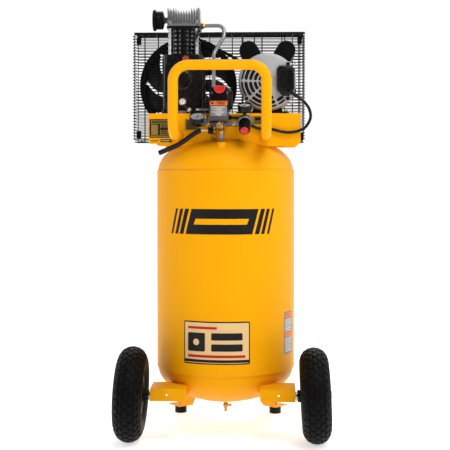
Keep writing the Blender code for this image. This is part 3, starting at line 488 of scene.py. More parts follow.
YELLOW = surface("yellow_powder_paint", (0.88, 0.378, 0.002), 0.44, tint=(0.85, 0.355, 0.002), grain=420,
    bump=0.09, specular=0.15, patch=3.0, glint=(1.0, 0.66, 0.28))
WELD = surface("painted_weld", (0.86, 0.37, 0.001), 0.42, grain=900, bump=0.5, specular=0.25)
TYRE = surface("tyre_rubber", (0.0018, 0.002, 0.002), 0.5, tint=(0.0035, 0.0035, 0.0035), patch=22,
    grain=900, bump=0.5, dust=(0.007, 0.0068, 0.0065), specular=0.08, cells=600)
RUBBER = surface("hose_rubber", (0.003, 0.003, 0.003), 0.42, tint=(0.006, 0.006, 0.006), grain=700,
    bump=0.25, specular=0.25)
CORD = surface("cord_jacket", (0.003, 0.003, 0.003), 0.38, grain=1400, bump=0.2, specular=0.25)
BELT = surface("belt_fabric", (0.004, 0.004, 0.004), 0.85, grain=1200, bump=0.8, stretch=(1, 3, 1),
    specular=0.15)
IRON = surface("cast_iron_paint", (0.0022, 0.0022, 0.0024), 0.28, tint=(0.004, 0.004, 0.0045), patch=14,
    grain=420, bump=0.16, depth=0.0003, cells=300, rough_spread=0.08, specular=0.26)
GLOSS = surface("glossy_black_paint", (0.0022, 0.0022, 0.0024), 0.2, tint=(0.004, 0.004, 0.0045), patch=14,
    grain=420, bump=0.1, specular=0.5)
BLACK = surface("black_powder_paint", (0.003, 0.003, 0.0032), 0.3, tint=(0.005, 0.005, 0.005), grain=650,
    bump=0.15, specular=0.25)
WIRE = surface("black_wire_coating", (0.0012, 0.0012, 0.0014), 0.42, grain=900, bump=0.2, specular=0.12)
# near-black painted shade of the motor's inside, used on the windings behind the front bell and on the
# patches at the rear vent openings
SHADOW = surface("painted_motor_shade", (0.006, 0.004, 0.003), 0.5, grain=900, bump=0.6, specular=0.2)
PLASTIC = surface("black_moulded_plastic", (0.002, 0.002, 0.0022), 0.44, tint=(0.0035, 0.0035, 0.0035),
    grain=700, bump=0.25, specular=0.09)
SATIN = surface("black_smooth_plastic", (0.003, 0.003, 0.0032), 0.26, grain=900, bump=0.08, specular=0.25)
ALUMINIUM = surface("cast_aluminium", (0.3, 0.3, 0.305), 0.42, 0.84, tint=(0.22, 0.22, 0.225), patch=18,
    grain=600, bump=0.35, rough_spread=0.08)
BELL = surface("sand_cast_aluminium", (0.4, 0.4, 0.405), 0.5, 0.35, tint=(0.34, 0.34, 0.345), patch=12,
    grain=520, bump=0.5, depth=0.0003, cells=500, rough_spread=0.08)
STEEL = surface("zinc_plated_steel", (0.55, 0.55, 0.56), 0.24, 1.0, tint=(0.44, 0.45, 0.47), patch=40,
    grain=900, bump=0.1)
TURNED = surface("turned_steel", (0.5, 0.5, 0.51), 0.24, 1.0, patch=30, grain=260, bump=0.2,
    stretch=(1, 12, 1))
BRASS = surface("brass", (0.66, 0.4, 0.1), 0.27, 1.0, tint=(0.5, 0.29, 0.07), patch=50, grain=900,
    bump=0.12)
ZINC = surface("grey_die_casting", (0.1, 0.1, 0.105), 0.42, 0.4, tint=(0.07, 0.07, 0.075), patch=30,
    grain=700, bump=0.35)
CHROME = surface("polished_fitting", (0.62, 0.62, 0.63), 0.25, 0.45, tint=(0.52, 0.52, 0.54), patch=60,
    grain=900, bump=0.08)
PIPE = surface("galvanised_pipe", (0.36, 0.36, 0.37), 0.36, 0.85, tint=(0.24, 0.25, 0.26), patch=90,
    grain=500, bump=0.3)
RED = surface("red_moulded_plastic", (0.62, 0.01, 0.01), 0.34, tint=(0.54, 0.008, 0.008), grain=1300,
    bump=0.12, coat=0.2)
PINK = surface("oil_cap_plastic", (0.34, 0.045, 0.045), 0.4, grain=1300, bump=0.15)
DIAL = surface("dial_card", (0.8, 0.8, 0.79), 0.5, tint=(0.74, 0.74, 0.73), patch=60, grain=1500, bump=0.04)
INK = surface("printed_ink", (0.0035, 0.0035, 0.004), 0.38, tint=(0.007, 0.007, 0.007), grain=900,
    bump=0.05, specular=0.2)
CREAM = surface("label_vinyl", (0.76, 0.5, 0.21), 0.4, tint=(0.72, 0.47, 0.19), grain=700, bump=0.05,
    coat=0.3, coat_rough=0.15)
GREY_INK = surface("label_grey", (0.22, 0.23, 0.24), 0.4, grain=700, bump=0.05)
ORANGE_INK = surface("label_orange", (0.8, 0.16, 0.012), 0.4, grain=700, bump=0.05)
RED_INK = surface("label_red", (0.5, 0.018, 0.008), 0.4, grain=700, bump=0.05, specular=0.15)
OLIVE_INK = surface("label_ochre", (0.3, 0.19, 0.02), 0.42, grain=700, bump=0.05)
PALE_INK = surface("label_pale", (0.62, 0.62, 0.58), 0.42, grain=700, bump=0.05)
CLEAR = glass("gauge_glass", (0.96, 0.98, 0.98), 0.03)
FLOOR = surface("studio_floor", (0.86, 0.86, 0.86), 0.8, tint=(0.84, 0.84, 0.84), patch=0.8, grain=60,
    bump=0.01, specular=0.1)


# Camera and cords ---------------------------------------------------------------------------------

def make_camera():
    data = bpy.data.cameras.new("camera")
    data.lens = 88.4
    data.sensor_width = 36
    data.shift_y = -0.129
    data.clip_end = 40
    camera = bpy.data.objects.new("camera", data)
    bpy.context.scene.collection.objects.link(camera)
    camera.location = (0.13, TANK_AXIS.y - 3.287, 0.77)
    camera.rotation_euler = (math.pi / 2, 0, math.radians(2.3))
    bpy.context.scene.camera = camera


MOTOR_CORD_R = 0.0043
MOTOR_CORD_ROUTE = [(0.0226, -0.1066, 0.912), (0.03, -0.1066, 0.9119), (0.043, -0.1066, 0.9097),
    (0.056, -0.1066, 0.9038), (0.069, -0.1066, 0.896), (0.082, -0.1066, 0.8882), (0.095, -0.1066, 0.8824),
    (0.108, -0.1066, 0.8802), (0.126, -0.1066, 0.88), (0.145, -0.107, 0.8768), (0.164, -0.1075, 0.8718),
    (0.1881, -0.108, 0.8692), (0.2155, -0.1085, 0.874), (0.2333, -0.1085, 0.8845), (0.245, -0.108, 0.902),
    (0.2483, -0.1065, 0.92), (0.2431, -0.104, 0.9394), (0.23, -0.1005, 0.9575), (0.2155, -0.0985, 0.9695),
    (0.205, -0.098, 0.977), (0.197, -0.098, 0.9826)]
HOSE_R = 0.007
HOSE_ROUTE = [(-0.064, -0.156, 0.8735), (-0.072, -0.1563, 0.8712), (-0.093, -0.1565, 0.858),
    (-0.11, -0.155, 0.845), (-0.1265, -0.152, 0.8348), (-0.142, -0.149, 0.8272), (-0.158, -0.145, 0.8208),
    (-0.172, -0.1415, 0.815), (-0.185, -0.139, 0.81)]


def path_length(path):
    """The length of a path of straight pieces."""
    return sum((b - a).length for a, b in zip(path, path[1:]))


def hose_wall(path, radius, bore, sides=40):
    """A rubber tube with an open bore at its far end and faint lengthwise ribs."""
    ups = []
    for before, after in zip([path[0]] + path[:-1], path[1:] + [path[-1]]):
        along = (after - before).normalized()
        side = along.cross(Vector((0, 1, 0))).normalized()
        ups.append((side, along.cross(side)))

    def ring(index, reach, ribs):
        side, up = ups[index]
        return [path[index] + (side * math.cos(a) + up * math.sin(a)) * (reach + ribs * math.cos(a * 10))
            for a in steps(0, TAU, sides)[:-1]]

    last = len(path) - 1
    outside = [ring(i, radius * (0.92 if i == last else 1.0), 0.00008) for i in range(last + 1)]
    inside = [ring(i, bore, 0.0) for i in (last, last - 3, last - 6)]
    return loft(outside + inside)


def make_cords():
    """The motor's cord, from the switch's gland to the motor's terminal cover, and the bleed hose with its
    barb and nut.
    """
    route = smooth_route(MOTOR_CORD_ROUTE, 6)
    cord = rods("motor_cord_jacket", [route], MOTOR_CORD_R, CORD, "rubber", "motor_cord", resolution=6)
    Vector(MOTOR_CORD_ROUTE[0]) + OFFSET
    path_length(route)
    route = smooth_route(HOSE_ROUTE, 5)
    hose = piece("bleed_hose_rubber", hose_wall(route, HOSE_R, 0.0042), RUBBER, "rubber", "bleed_hose",
        crease=50)
    start = Vector(HOSE_ROUTE[0])
    barb = [(0, 0.0008), (0.0046, 0.0008), (0.0046, 0.0022), (0.0023, 0.003), (0.0023, 0.019),
        (0.0036, 0.0196), (0.0036, 0.0203), (0, 0.0203)]
    tail = piece("hose_barb", lathe(barb, 32, "X", start), CHROME, "steel", "hose_fitting")
    nut = hexagon(0.0098, 0.0202, 0.0355, "X", start)
    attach(piece("hose_nut", nut, SATIN, "black_plastic", bevel=0.0006), "root")
    path_length(route)


make_camera()
make_cords()


# Tank ---------------------------------------------------------------------------------------------

STAND = (-0.0062, -0.14)


def make_tank():
    """The shell, the two heads with what is welded to them, and the weld seams."""
    shell = [(TANK_R - 0.003, SEAM_LOW), (TANK_R - 0.0006, SEAM_LOW), (TANK_R, SEAM_LOW + 0.0008),
        (TANK_R, SEAM_TOP - 0.0008), (TANK_R - 0.0006, SEAM_TOP), (TANK_R - 0.003, SEAM_TOP)]
    piece("tank_shell_skin", lathe(shell, 192, closed=True), YELLOW, "yellow_paint", "tank_shell")
    boss_top, boss_r = 0.841, 0.0135
    lip = 0.012
    for name, seam, up in (("tank_top_head", SEAM_TOP, 1), ("tank_bottom_head", SEAM_LOW, -1)):
        dome = [(0, seam - up * lip), (HEAD_R, seam - up * lip)]
        dome += [(HEAD_R * math.cos(a), seam + up * HEAD_DEPTH * math.sin(a))
            for a in steps(0, math.pi / 2, 40)]
        dome[-1] = (0, seam + up * HEAD_DEPTH)
        parts = [lathe(dome, 192)]
        if up > 0:
            boss = [(0, boss_top - 0.02), (boss_r + 0.004, boss_top - 0.02), (boss_r, boss_top - 0.006),
                (boss_r, boss_top - 0.0015), (boss_r - 0.0015, boss_top), (0, boss_top)]
            parts.append(lathe(boss, 48, at=(*STAND, 0)))
        else:
            neck = SEAM_LOW - HEAD_DEPTH
            parts.append(lathe([(0, neck - 0.004), (0.0145, neck - 0.004), (0.016, neck - 0.0025),
                (0.019, neck + 0.003), (0, neck + 0.003)], 48))
        piece(name + "_skin", join(*parts), YELLOW, "yellow_paint", name)
    welds = [ring_bead(TANK_R - 0.0016, z, 0.0024, 620, 620) for z in (SEAM_LOW - 0.0008,
        SEAM_TOP + 0.0008)]
    seam_line = []
    for i in range(260):
        z = SEAM_LOW + (SEAM_TOP - SEAM_LOW) * i / 259
        wide, high = 0.0032 + 0.0004 * math.sin(i * 1.9), 0.0009 + 0.00025 * math.sin(i * 1.9)
        seam_line.append([(0.03 - wide, TANK_R * 0.9885, z), (0.03 - wide * 0.5, TANK_R * 0.989 + high, z),
            (0.03 + wide * 0.5, TANK_R * 0.989 + high, z), (0.03 + wide, TANK_R * 0.9885, z)])
    piece("tank_weld_seams", join(*welds, loft(seam_line)), WELD, "yellow_paint", crease=80)


# Generic graphics: plain bars and panels, with no words and no marks.
LABEL_LIFT = 0.00025


def on_tank(name, outlines, lift, material, slot):
    """Flat outlines, in metres along the skin and up, laid round the tank."""
    shapes = [prism(outline, 0.0, 0.0003, "Y") for outline in outlines]
    piece(name, wrap(join(*shapes), LABEL_LIFT * lift + 0.0003), material, slot)


def bars(left, right, low, high, count, fill=0.6, radius=0.0006):
    """count level bars, which stand for lines of print."""
    pitch = (high - low) / count
    thick = pitch * fill
    shares = (1.0, 0.86, 0.94, 0.72, 0.9, 0.8)
    made = []
    for i in range(count):
        z = high - pitch * (i + 0.5)
        end = left + (right - left) * shares[i % len(shares)]
        made.append(rounded((end - left) / 2, thick / 2, min(radius, thick * 0.45), 3,
            ((left + end) / 2, z)))
    return made


def make_tank_graphics():
    """The dark band, the front panel and the side plate."""
    low, high, lean = 0.581, 0.652, 0.02

    def slanted(left, right):
        return [(left, low), (right, low), (right + lean, high), (left + lean, high)]

    stripes = [slanted(-0.112, 0.084)]
    for share in range(3):
        wide, gap = 0.0135 - share * 0.003, 0.008
        edge = 0.084 + gap + share * 0.02
        stripes.append(slanted(edge, edge + wide))
        edge = -0.112 - gap - share * 0.02
        stripes.append(slanted(edge - wide, edge))
    on_tank("front_band_graphic", stripes, 1, INK, "black_paint")
    inner = [[(-0.085, 0.6085), (0.068, 0.6085), (0.0745, 0.6245), (-0.0785, 0.6245)]]
    on_tank("front_band_inlay", inner, 3, YELLOW, "yellow_paint")

    left, right, low, high = -0.1165, 0.0775, 0.217, 0.337
    centre = ((left + right) / 2, (low + high) / 2)
    edges = (left, right, low, high)
    on_tank("front_panel_border", [framed(*edges, 0.005, 5)], 1, INK, "black_paint")
    on_tank("front_panel_face", [framed(*edges, 0.003, 5, 0.0035)], 3, CREAM, "yellow_paint")
    blocks = [rounded(0.026, 0.026, 0.004, 4, (left + 0.04, 0.279)), rounded(0.044, 0.01, 0.003, 4,
        (left + 0.128, 0.295)), rounded(0.044, 0.01, 0.003, 4, (left + 0.128, 0.264))]
    on_tank("front_panel_blocks", blocks, 5, INK, "black_paint")
    lines = bars(left + 0.014, left + 0.1, 0.3135, 0.3245, 1, 0.62) + bars(left + 0.014, right - 0.014,
        0.2335, 0.2455, 1, 0.62)
    on_tank("front_panel_lines", lines, 5, RED_INK, "red_plastic")
    on_tank("front_panel_ring", [rounded(0.009, 0.009, 0.0089, 8, (left + 0.04, 0.279))], 7, CREAM,
        "yellow_paint")
    on_tank("front_panel_footer", [rounded(0.094, 0.0038, 0.001, 3, (centre[0], 0.2262))], 5, INK,
        "black_paint")

    left, right, low, high = 0.2055, 0.262, 0.231, 0.353
    centre = ((left + right) / 2, (low + high) / 2)
    on_tank("side_plate", [framed(left, right, low, high, 0.003, 4)], 1, GREY_INK, "grey_metal")
    on_tank("side_plate_bands", [rounded(0.0262, 0.0075, 0.001, 3, (centre[0], z))
        for z in (0.3425, 0.287)], 3, ORANGE_INK, "yellow_paint")
    text = bars(left + 0.004, right - 0.004, 0.296, 0.332, 6) + bars(left + 0.004, right - 0.004, 0.236,
        0.278, 7)
    on_tank("side_plate_print", text, 3, PALE_INK, "grey_metal")


# Running gear -------------------------------------------------------------------------------------

WHEEL = Vector((0.258, -0.2, 0.0))
TYRE_R, TYRE_CROWN, TYRE_HALF = 0.133, 0.04, 0.041
CAMBER = math.radians(2.5)
WHEEL.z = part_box("right_tyre")[0].z + (TYRE_R - TYRE_CROWN) * math.cos(CAMBER) + math.hypot(TYRE_CROWN
    * math.cos(CAMBER), TYRE_HALF * math.sin(CAMBER))
TREAD = 0.0026          # depth of the tread's grooves
BRACKET_X = 0.2025      # the plate that holds each axle, out from the middle
FOOT_X, FOOT_Y = 0.148, 0.18


def tyre_point(a, phi, lift):
    """A point on the tyre: a goes round its section and phi round the wheel, whose axle is X."""
    reach = TYRE_R - TYRE_CROWN + (TYRE_CROWN - TREAD + lift) * math.sin(a)
    across = (TYRE_HALF - TREAD + lift) * math.cos(a)
    return across, reach * math.cos(phi), reach * math.sin(phi)


def make_tyre():
    """The tyre's turned section with five rows of tread blocks and the lugs of its shoulders."""
    section = [(0.0515, 0.0262)]
    for a in steps(math.radians(-40), math.radians(220), 46):
        swell = 0.0
        for ridge in (4, 12, 168, 176):
            swell += 0.0007 * math.exp(-((math.degrees(a) - ridge) / 2.2) ** 2)
        groove = 0.0 if 22 < math.degrees(a) < 158 else TREAD * 0.65
        section.append(tyre_point(a, 0.0, groove + swell)[1::-1])
    section.append((0.0515, -0.0262))
    parts = [lathe(section, 120, "X", closed=True)]
    around = 32
    pitch = TAU * TYRE_R / around
    spacing = 0.0138
    for row, half_wide in ((-2, 0.0062), (-1, 0.0064), (0, 0.0064), (1, 0.0064), (2, 0.0062)):
        for i in range(around):
            phi = TAU * (i + 0.5 * (row % 2)) / around
            half_long = pitch * 0.62
            shape = [(-half_wide, -half_long * 0.42), (0.0, -half_long * 0.74),
                (half_wide, -half_long * 0.42), (half_wide, half_long * 0.42), (0.0, half_long * 0.74),
                (-half_wide, half_long * 0.42)]
            rings = []
            for grow, lift in ((1.0, -0.0006), (1.0, TREAD * 0.72), (0.86, TREAD), (0.4, TREAD * 1.04)):
                rings.append([tyre_point(math.pi / 2 - (row * spacing + s * grow) / TYRE_CROWN,
                    phi + t * grow / TYRE_R, lift) for s, t in shape])
            parts.append(loft(rings))
    # lugs on the shoulders
    for side in (-1, 1):
        for i in range(around):
            phi = TAU * (i + 0.25) / around
            centre = math.pi / 2 - side * 0.0415 / TYRE_CROWN
            shape = [(-0.006, -0.0075), (0.006, -0.0058), (0.006, 0.0058), (-0.006, 0.0075)]
            rings = []
            for grow, lift in ((1.0, -0.0006), (1.0, TREAD * 0.6), (0.82, TREAD * 0.9)):
                rings.append([tyre_point(centre - side * s * grow / TYRE_CROWN, phi + t * grow / TYRE_R,
                    lift) for s, t in shape])
            parts.append(loft(rings))
    return join(*parts)


def make_rim():
    """Two pressed discs with a rolled bead, held by bolts, round a tube hub."""
    hole = 0.0084
    outline = [(hole, 0.0385), (0.0165, 0.0385), (0.0175, 0.0375), (0.0175, 0.0125), (0.0205, 0.0105),
        (0.036, 0.0105), (0.0425, 0.013), (0.0462, 0.025), (0.0478, 0.029), (0.0515, 0.0312),
        (0.0548, 0.0305), (0.0553, 0.0292), (0.053, 0.0279), (0.0485, 0.0255), (0.0475, 0.004),
        (0.0475, -0.02), (0.05, -0.0272), (0.0548, -0.029), (0.0545, -0.0308), (0.05, -0.0305),
        (0.044, -0.0262), (0.036, -0.016), (0.0175, -0.013), (0.0175, -0.049), (0.0165, -0.05),
        (hole, -0.05)]
    parts = [lathe(outline, 96, "X", closed=True)]
    for i in range(4):
        spot = (0.0105, *polar(0.0285, TAU * (i + 0.5) / 4))
        parts.append(bolt(spot, "X", 0.0052, stud=0.003))
    return join(*parts)


def make_wheels():
    """Both wheels, each turned by the camber, with valve, hub seal and the bolt it runs on."""
    for side, sign in (("left", -1), ("right", 1)):
        spin = Matrix.Rotation(0 if sign > 0 else math.pi, 4, "Z") @ Matrix.Rotation(-CAMBER, 4, "Y")
        place = Matrix.Translation((sign * WHEEL.x, WHEEL.y, WHEEL.z)) @ spin
        body = side + "_wheel"

        def put(name, bm, *rest, **more):
            bm.transform(place)
            piece(side + name, bm, *rest, **more)

        put("_tyre_tread", make_tyre(), TYRE, "tyre", side + "_tyre", body=body, crease=40)
        put("_rim_discs", make_rim(), BLACK, "black_paint", side + "_rim", body=body, bevel=0.0005,
            segments=1)
        a = math.radians(38)
        spot = (0.015, *polar(0.0405, a))
        valve = lathe([(0, 0), (0.0036, 0), (0.003, 0.007), (0.003, 0.009), (0.0038, 0.0095),
            (0.0038, 0.0175), (0.003, 0.0185), (0, 0.0185)], 20, (0.94, 0.34 * -math.cos(a),
            0.34 * -math.sin(a)), spot)
        put("_valve_stem", valve, RUBBER, "rubber", body=body)
        plate = WHEEL.x - BRACKET_X
        axle = join(hexagon(0.0128, 0.0392, 0.0462, "X"), drum(0.0138, 0.0386, 0.0396, 32, "X"),
            drum(0.0078, -0.06, 0.039, 24, "X"), lathe([(0, -(plate - 0.0011)), (0.0132, -(plate - 0.0011)),
            (0.0132, -0.0506), (0, -0.0506)], 32, "X"), hexagon(0.013, -(plate + 0.0115), -(plate + 0.0048),
            "X"), lathe([(0, -(plate + 0.0165)), (0.0068, -(plate + 0.0165)), (0.0078, -(plate + 0.0155)),
            (0.0078, -0.055), (0, -0.055)], 24, "X"))
        put("_axle_bolt_steel", axle, STEEL, "steel", side + "_axle_bolt", bevel=0.0003, segments=1)
        cap = lathe([(0.0085, -0.0497), (0.0085, -0.044), (0.0155, -0.044), (0.016, -0.045),
            (0.016, -0.0497)], 40, "X", closed=True)
        put("_hub_seal", cap, RUBBER, "rubber", body=body, bevel=0.0004)


def make_brackets():
    """The folded wheel brackets, and the straps, bolts and rubbers of the two feet."""
    skin = [envelope() for _ in range(4)]
    for side, sign in (("left", -1), ("right", 1)):
        low, high = area(side + "_wheel_bracket")
        inner = (low.x + SHEET, low.y + SHEET, low.z - 0.01), (high.x - SHEET, high.y + 0.02,
            high.z - SHEET)
        bore = drum(0.0092, -0.015, 0.015, 32, "X", (sign * BRACKET_X, WHEEL.y, WHEEL.z - 0.0024))
        weep = drum(0.0026, -0.02, 0.02, 20, "Y", (sign * 0.156, low.y, (low.z + high.z) / 2))
        shape = carve(block(low, high), block(*inner), skin.pop(), bore, weep)
        piece(side + "_bracket_sheet", shape, YELLOW, "yellow_paint", side + "_wheel_bracket", bevel=0.0014,
            segments=3)
        reach = math.hypot(FOOT_X, FOOT_Y)
        turn = Matrix.Rotation(math.atan2(FOOT_Y, sign * FOOT_X), 4, "Z")
        z0 = area(side + "_foot_bracket")[0].z
        z1 = z0 + SHEET
        strap = [(reach + 0.029, z0), (reach + 0.029, z1), (reach - 0.027, z1), (0.1385, 0.14),
            (0.1335, 0.14), (reach - 0.0285, z0)]
        leg = moved(prism(strap, -0.026, 0.026, "Y"), turn=turn)
        slots = [moved(prism(rounded(0.01, 0.0035, 0.0034, 5, (reach + 0.008, y)), z0 - 0.01, z1 + 0.01),
            turn=turn) for y in (-0.0185, 0.0185)]
        piece(side + "_foot_strap", carve(leg, skin.pop(), *slots), YELLOW, "yellow_paint",
            side + "_foot_bracket", bevel=0.0008, segments=2)
        at = (sign * FOOT_X, FOOT_Y, 0)
        top = area(side + "_rubber_foot")[1].z
        profile = [(0, 0), (0.0165, 0), (0.018, 0.0012), (0.0188, 0.003)]
        for i in range(4):
            z = 0.005 + i * 0.0042
            profile += [(0.0186, z), (0.0176, z + 0.0008), (0.0176, z + 0.0018), (0.0184, z + 0.0026)]
        profile += [(0.0178, top - 0.0006), (0.0172, top), (0, top)]
        piece(side + "_foot_rubber", lathe(profile, 56, at=at), RUBBER, "rubber", side + "_rubber_foot")
        piece(side + "_foot_bolt", bolt((at[0], at[1], z1), "Z", 0.0062, stud=0.005), STEEL, "steel",
            bevel=0.0003)


make_tank()
make_tank_graphics()
make_wheels()
make_brackets()


# Platform and handle ------------------------------------------------------------------------------

HANDLE_R = 0.0143
HANDLE_FOOT = 0.86


def make_platform():
    """The folded sheet over the tank, and the plain panels on its front."""
    (x0, y0, z0), (x1, y1, z1) = area("platform")
    bend = 0.004
    edge = []
    for cx, cz, start in ((y0 + bend, z1 - bend, 180), (y1 - bend, z1 - bend, 90)):
        edge += [polar(bend, math.radians(a), (cx, cz)) for a in steps(start, start - 90, 6)]
    inner = [(y1 - SHEET, z0), (y1 - SHEET, z1 - SHEET - 0.001), (y1 - SHEET - 0.001, z1 - SHEET),
        (y0 + SHEET + 0.001, z1 - SHEET), (y0 + SHEET, z1 - SHEET - 0.001), (y0 + SHEET, z0)]
    section = [(y0, z0)] + edge + [(y1, z0)] + inner
    bite = 0.012
    right = [(x1 - bite, z0 - 0.01), (x1 + 0.01, z0 - 0.01), (x1 + 0.01, z0 + bite), (x1, z0 + bite),
        (x1 - bite, z0)]
    left = [(x0 - 0.01, z0 - 0.01), (-0.188, z0 - 0.01), (-0.19, z0 + 0.007), (x0 + 0.005, z0 + 0.007),
        (x0, z0 + 0.012), (x0 - 0.01, z0 + 0.012)]
    tools = [envelope(), prism(right, y0 - 0.01, y1 + 0.01, "Y"), prism(left, y0 - 0.01, y1 + 0.01, "Y")]
    for x in (-0.206, 0.195):
        tools.append(prism(rounded(0.007, 0.0035, 0.003, 4, (x, y0 + 0.012)), z1 - 0.01, z1 + 0.01))
    for x in (-0.205, 0.205):
        for y in (y0 + 0.05, y1 - 0.05):
            tools.append(prism(rounded(0.0042, 0.009, 0.0041, 5, (x, y)), z1 - 0.01, z1 + 0.01))
    body = prism(section, x0, x1, "X")
    piece("platform_sheet", carve(body, *tools), YELLOW, "yellow_paint", "platform", bevel=0.0007,
        segments=2, crease=50)
    front = y0 - 0.0004

    def label(name, shapes, lift, material, slot):
        made = [prism(shape, front - 0.0003 * (lift + 1), front - 0.0003 * lift, "Y") for shape in shapes]
        piece(name, join(*made), material, slot)

    left, right, low, high = -0.2165, -0.15, 0.8545, 0.9085
    centre = ((left + right) / 2, (low + high) / 2)
    label("rating_plate", [framed(left, right, low, high, 0.0015, 3)], 0, INK, "black_paint")
    label("rating_plate_fields", [rounded(0.0298, 0.0055, 0.0006, 2, (centre[0], 0.9005)),
        rounded(0.01, 0.015, 0.0006, 2, (left + 0.0145, 0.8775)), rounded(0.0155, 0.0055, 0.0006, 2,
        (left + 0.046, 0.887)), rounded(0.0155, 0.007, 0.0006, 2, (left + 0.046, 0.8705)),
        rounded(0.0298, 0.002, 0.0006, 2, (centre[0], 0.8588))], 1, OLIVE_INK, "yellow_paint")
    print_bars = bars(left + 0.006, left + 0.06, 0.8965, 0.9045, 2) + bars(left + 0.0325, left + 0.059,
        0.865, 0.891, 5)
    label("rating_plate_print", print_bars, 2, INK, "black_paint")
    label("serial_strip", [rounded(0.016, 0.0042, 0.0006, 2, (-0.1685, 0.846))], 0, INK, "black_paint")
    label("serial_strip_print", bars(-0.182, -0.156, 0.844, 0.848, 2), 1, PALE_INK, "grey_metal")
    label("date_strip", bars(-0.213, -0.189, 0.8435, 0.848, 2, 0.7), 0, OLIVE_INK, "yellow_paint")
    label("control_plate", [rounded(0.0205, 0.0165, 0.001, 2, (-0.0935, 0.8925))], 0, OLIVE_INK,
        "yellow_paint")
    label("control_plate_print", bars(-0.11, -0.078, 0.879, 0.906, 7), 1, INK, "black_paint")
    label("outlet_plate", [rounded(0.0165, 0.0118, 0.001, 2, (0.0965, 0.905))], 0, OLIVE_INK,
        "yellow_paint")
    label("outlet_plate_field", [rounded(0.0085, 0.0052, 0.0006, 2, (0.0965, 0.9085)),
        *bars(0.086, 0.109, 0.895, 0.901, 2)], 1, INK, "black_paint")


def make_handle():
    """One bent tube, with a weld where each end meets the platform."""
    low, high = area("handle")
    mid, half = (low.x + high.x) / 2, (high.x - low.x) / 2 - HANDLE_R
    y, z0, z1 = low.y + HANDLE_R, HANDLE_FOOT, high.z - HANDLE_R
    end = area("platform")[0].y - 0.0005
    route = []
    for sign in (-1, 1):
        x, foot_x = mid + sign * half, mid + sign * (half - 0.004)
        leg = [(foot_x, end, z0), (x, y, z0), (x, y, z1)]
        route += leg if sign < 0 else leg[::-1]
    rods("handle_tube", [arcs(route, 0.0435, 16)], HANDLE_R, YELLOW, "yellow_paint", "handle",
        resolution=12)
    beads = []
    for sign in (-1, 1):
        rings = []
        for i in range(64):
            a = TAU * i / 64
            thick = 0.0021 * (1 + 0.14 * math.sin(a * 17))
            ring = []
            for t in steps(0, TAU, 8)[:-1]:
                reach = HANDLE_R + thick * math.cos(t)
                ring.append((mid + sign * (half - 0.004) + reach * math.cos(a),
                    end - 0.0012 + thick * math.sin(t), z0 + reach * math.sin(a)))
            rings.append(ring)
        beads.append(loft(rings, closed=True))
    piece("handle_welds", join(*beads), WELD, "yellow_paint", crease=70)


# Pump ---------------------------------------------------------------------------------------------

PUMP = Vector((-0.122, -0.0125, 0))
CRANK_Z = 1.022


def make_crankcase():
    """The hollow crank case with its ribs, front cover and bolts."""
    (x0, y0, z0), (x1, y1, z1) = area("crankcase")
    flange = 0.008
    # waisted body between a wide foot and the cylinder's deck
    body = prism(framed(x0, x1, y0, y1, 0.014, 5, 0.004), z0 + 0.002, z1 - 0.002)
    foot = prism(framed(x0, x1, y0, y1, 0.01, 5), z0, z0 + flange)
    deck = prism(rounded((x1 - x0) / 2 - 0.006, 0.056, 0.01, 5, (PUMP.x, PUMP.y)), z1 - 0.0095, z1)
    cover = prism(rounded(0.052, 0.064, 0.02, 6, (PUMP.x, 1.0135)), y0, y0 + 0.012, "Y")
    gasket = prism(rounded(0.0505, 0.0625, 0.019, 6, (PUMP.x, 1.0135)), y0 + 0.012, y0 + 0.0135, "Y")
    ribs = []
    for sign in (-1, 1):
        for y in (-0.05, -0.02, 0.01, 0.038):
            x = PUMP.x + sign * ((x1 - x0) / 2 - 0.0045)
            rib = [(x - 0.004, z0 + 0.008), (x + 0.004, z0 + 0.008), (x + 0.0024, z1 - 0.01),
                (x - 0.0024, z1 - 0.01)]
            ribs.append(prism(rib, y - 0.0022, y + 0.0022, "Y"))
    bore = ((0, z1 - 0.03), (0.037, z1 - 0.03), (0.037, z1 + 0.01), (0, z1 + 0.01))
    middle_line = (PUMP.x, PUMP.y, 0)
    cavity = block((PUMP.x - 0.05, y0 + 0.014, z0 + 0.01), (PUMP.x + 0.05, y1 - 0.01, z1 - 0.009))
    shaft_hole = drum(0.0134, y1 - 0.02, y1 + 0.02, 40, "Y", (PUMP.x, 0, CRANK_Z))
    body = carve(body, cavity, lathe(bore, 64, at=middle_line), shaft_hole)
    deck = carve(deck, lathe(bore, 64, at=middle_line))
    bearing = lathe([(0, y0 + 0.002), (0.0345, y0 + 0.002), (0.0335, y0 + 0.0005), (0.0335, y0 - 0.0005),
        (0, y0 - 0.0005)], 64, "Y", (PUMP.x, 0, CRANK_Z))
    rear = lathe([(0.0134, y1 - 0.004), (0.04, y1 - 0.004), (0.036, y1 + 0.01), (0.015, y1 + 0.014),
        (0.0134, y1 + 0.014)], 64, "Y", (PUMP.x, 0, CRANK_Z), closed=True)
    window_boss = lathe([(0, y0 + 0.003), (0.015, y0 + 0.003), (0.0135, y0 - 0.0004), (0, y0 - 0.0004)], 40,
        "Y", (PUMP.x, 0, 0.959))
    left_flange = block((x0 + 0.001, y0 + 0.016, 0.992), (x0 + 0.006, y0 + 0.032, z1 - 0.012))
    piece("crankcase_casting", join(body, foot, deck, cover, bearing, rear, window_boss, left_flange,
        *ribs), IRON, "black_iron", "crankcase", bevel=0.0016, segments=3, crease=40)
    piece("crankcase_gasket", gasket, RUBBER, "rubber")
    bolts = []
    for dx, z in ((-0.044, 0.958), (0.044, 0.958), (-0.0445, 1.0135), (0.0445, 1.0135), (-0.041, 1.067),
            (0.041, 1.067)):
        bolts.append(bolt((PUMP.x + dx, y0 - 0.0002, z), TO_FRONT, 0.005))
    for dx in (-0.053, 0.053):
        for y in (y0 + 0.01, y1 - 0.012):
            bolts.append(bolt((PUMP.x + dx, y, z0 + flange), "Z", 0.0055, stud=0.003))
    piece("crankcase_bolts", join(*bolts), IRON, "black_iron", bevel=0.0002, segments=1)


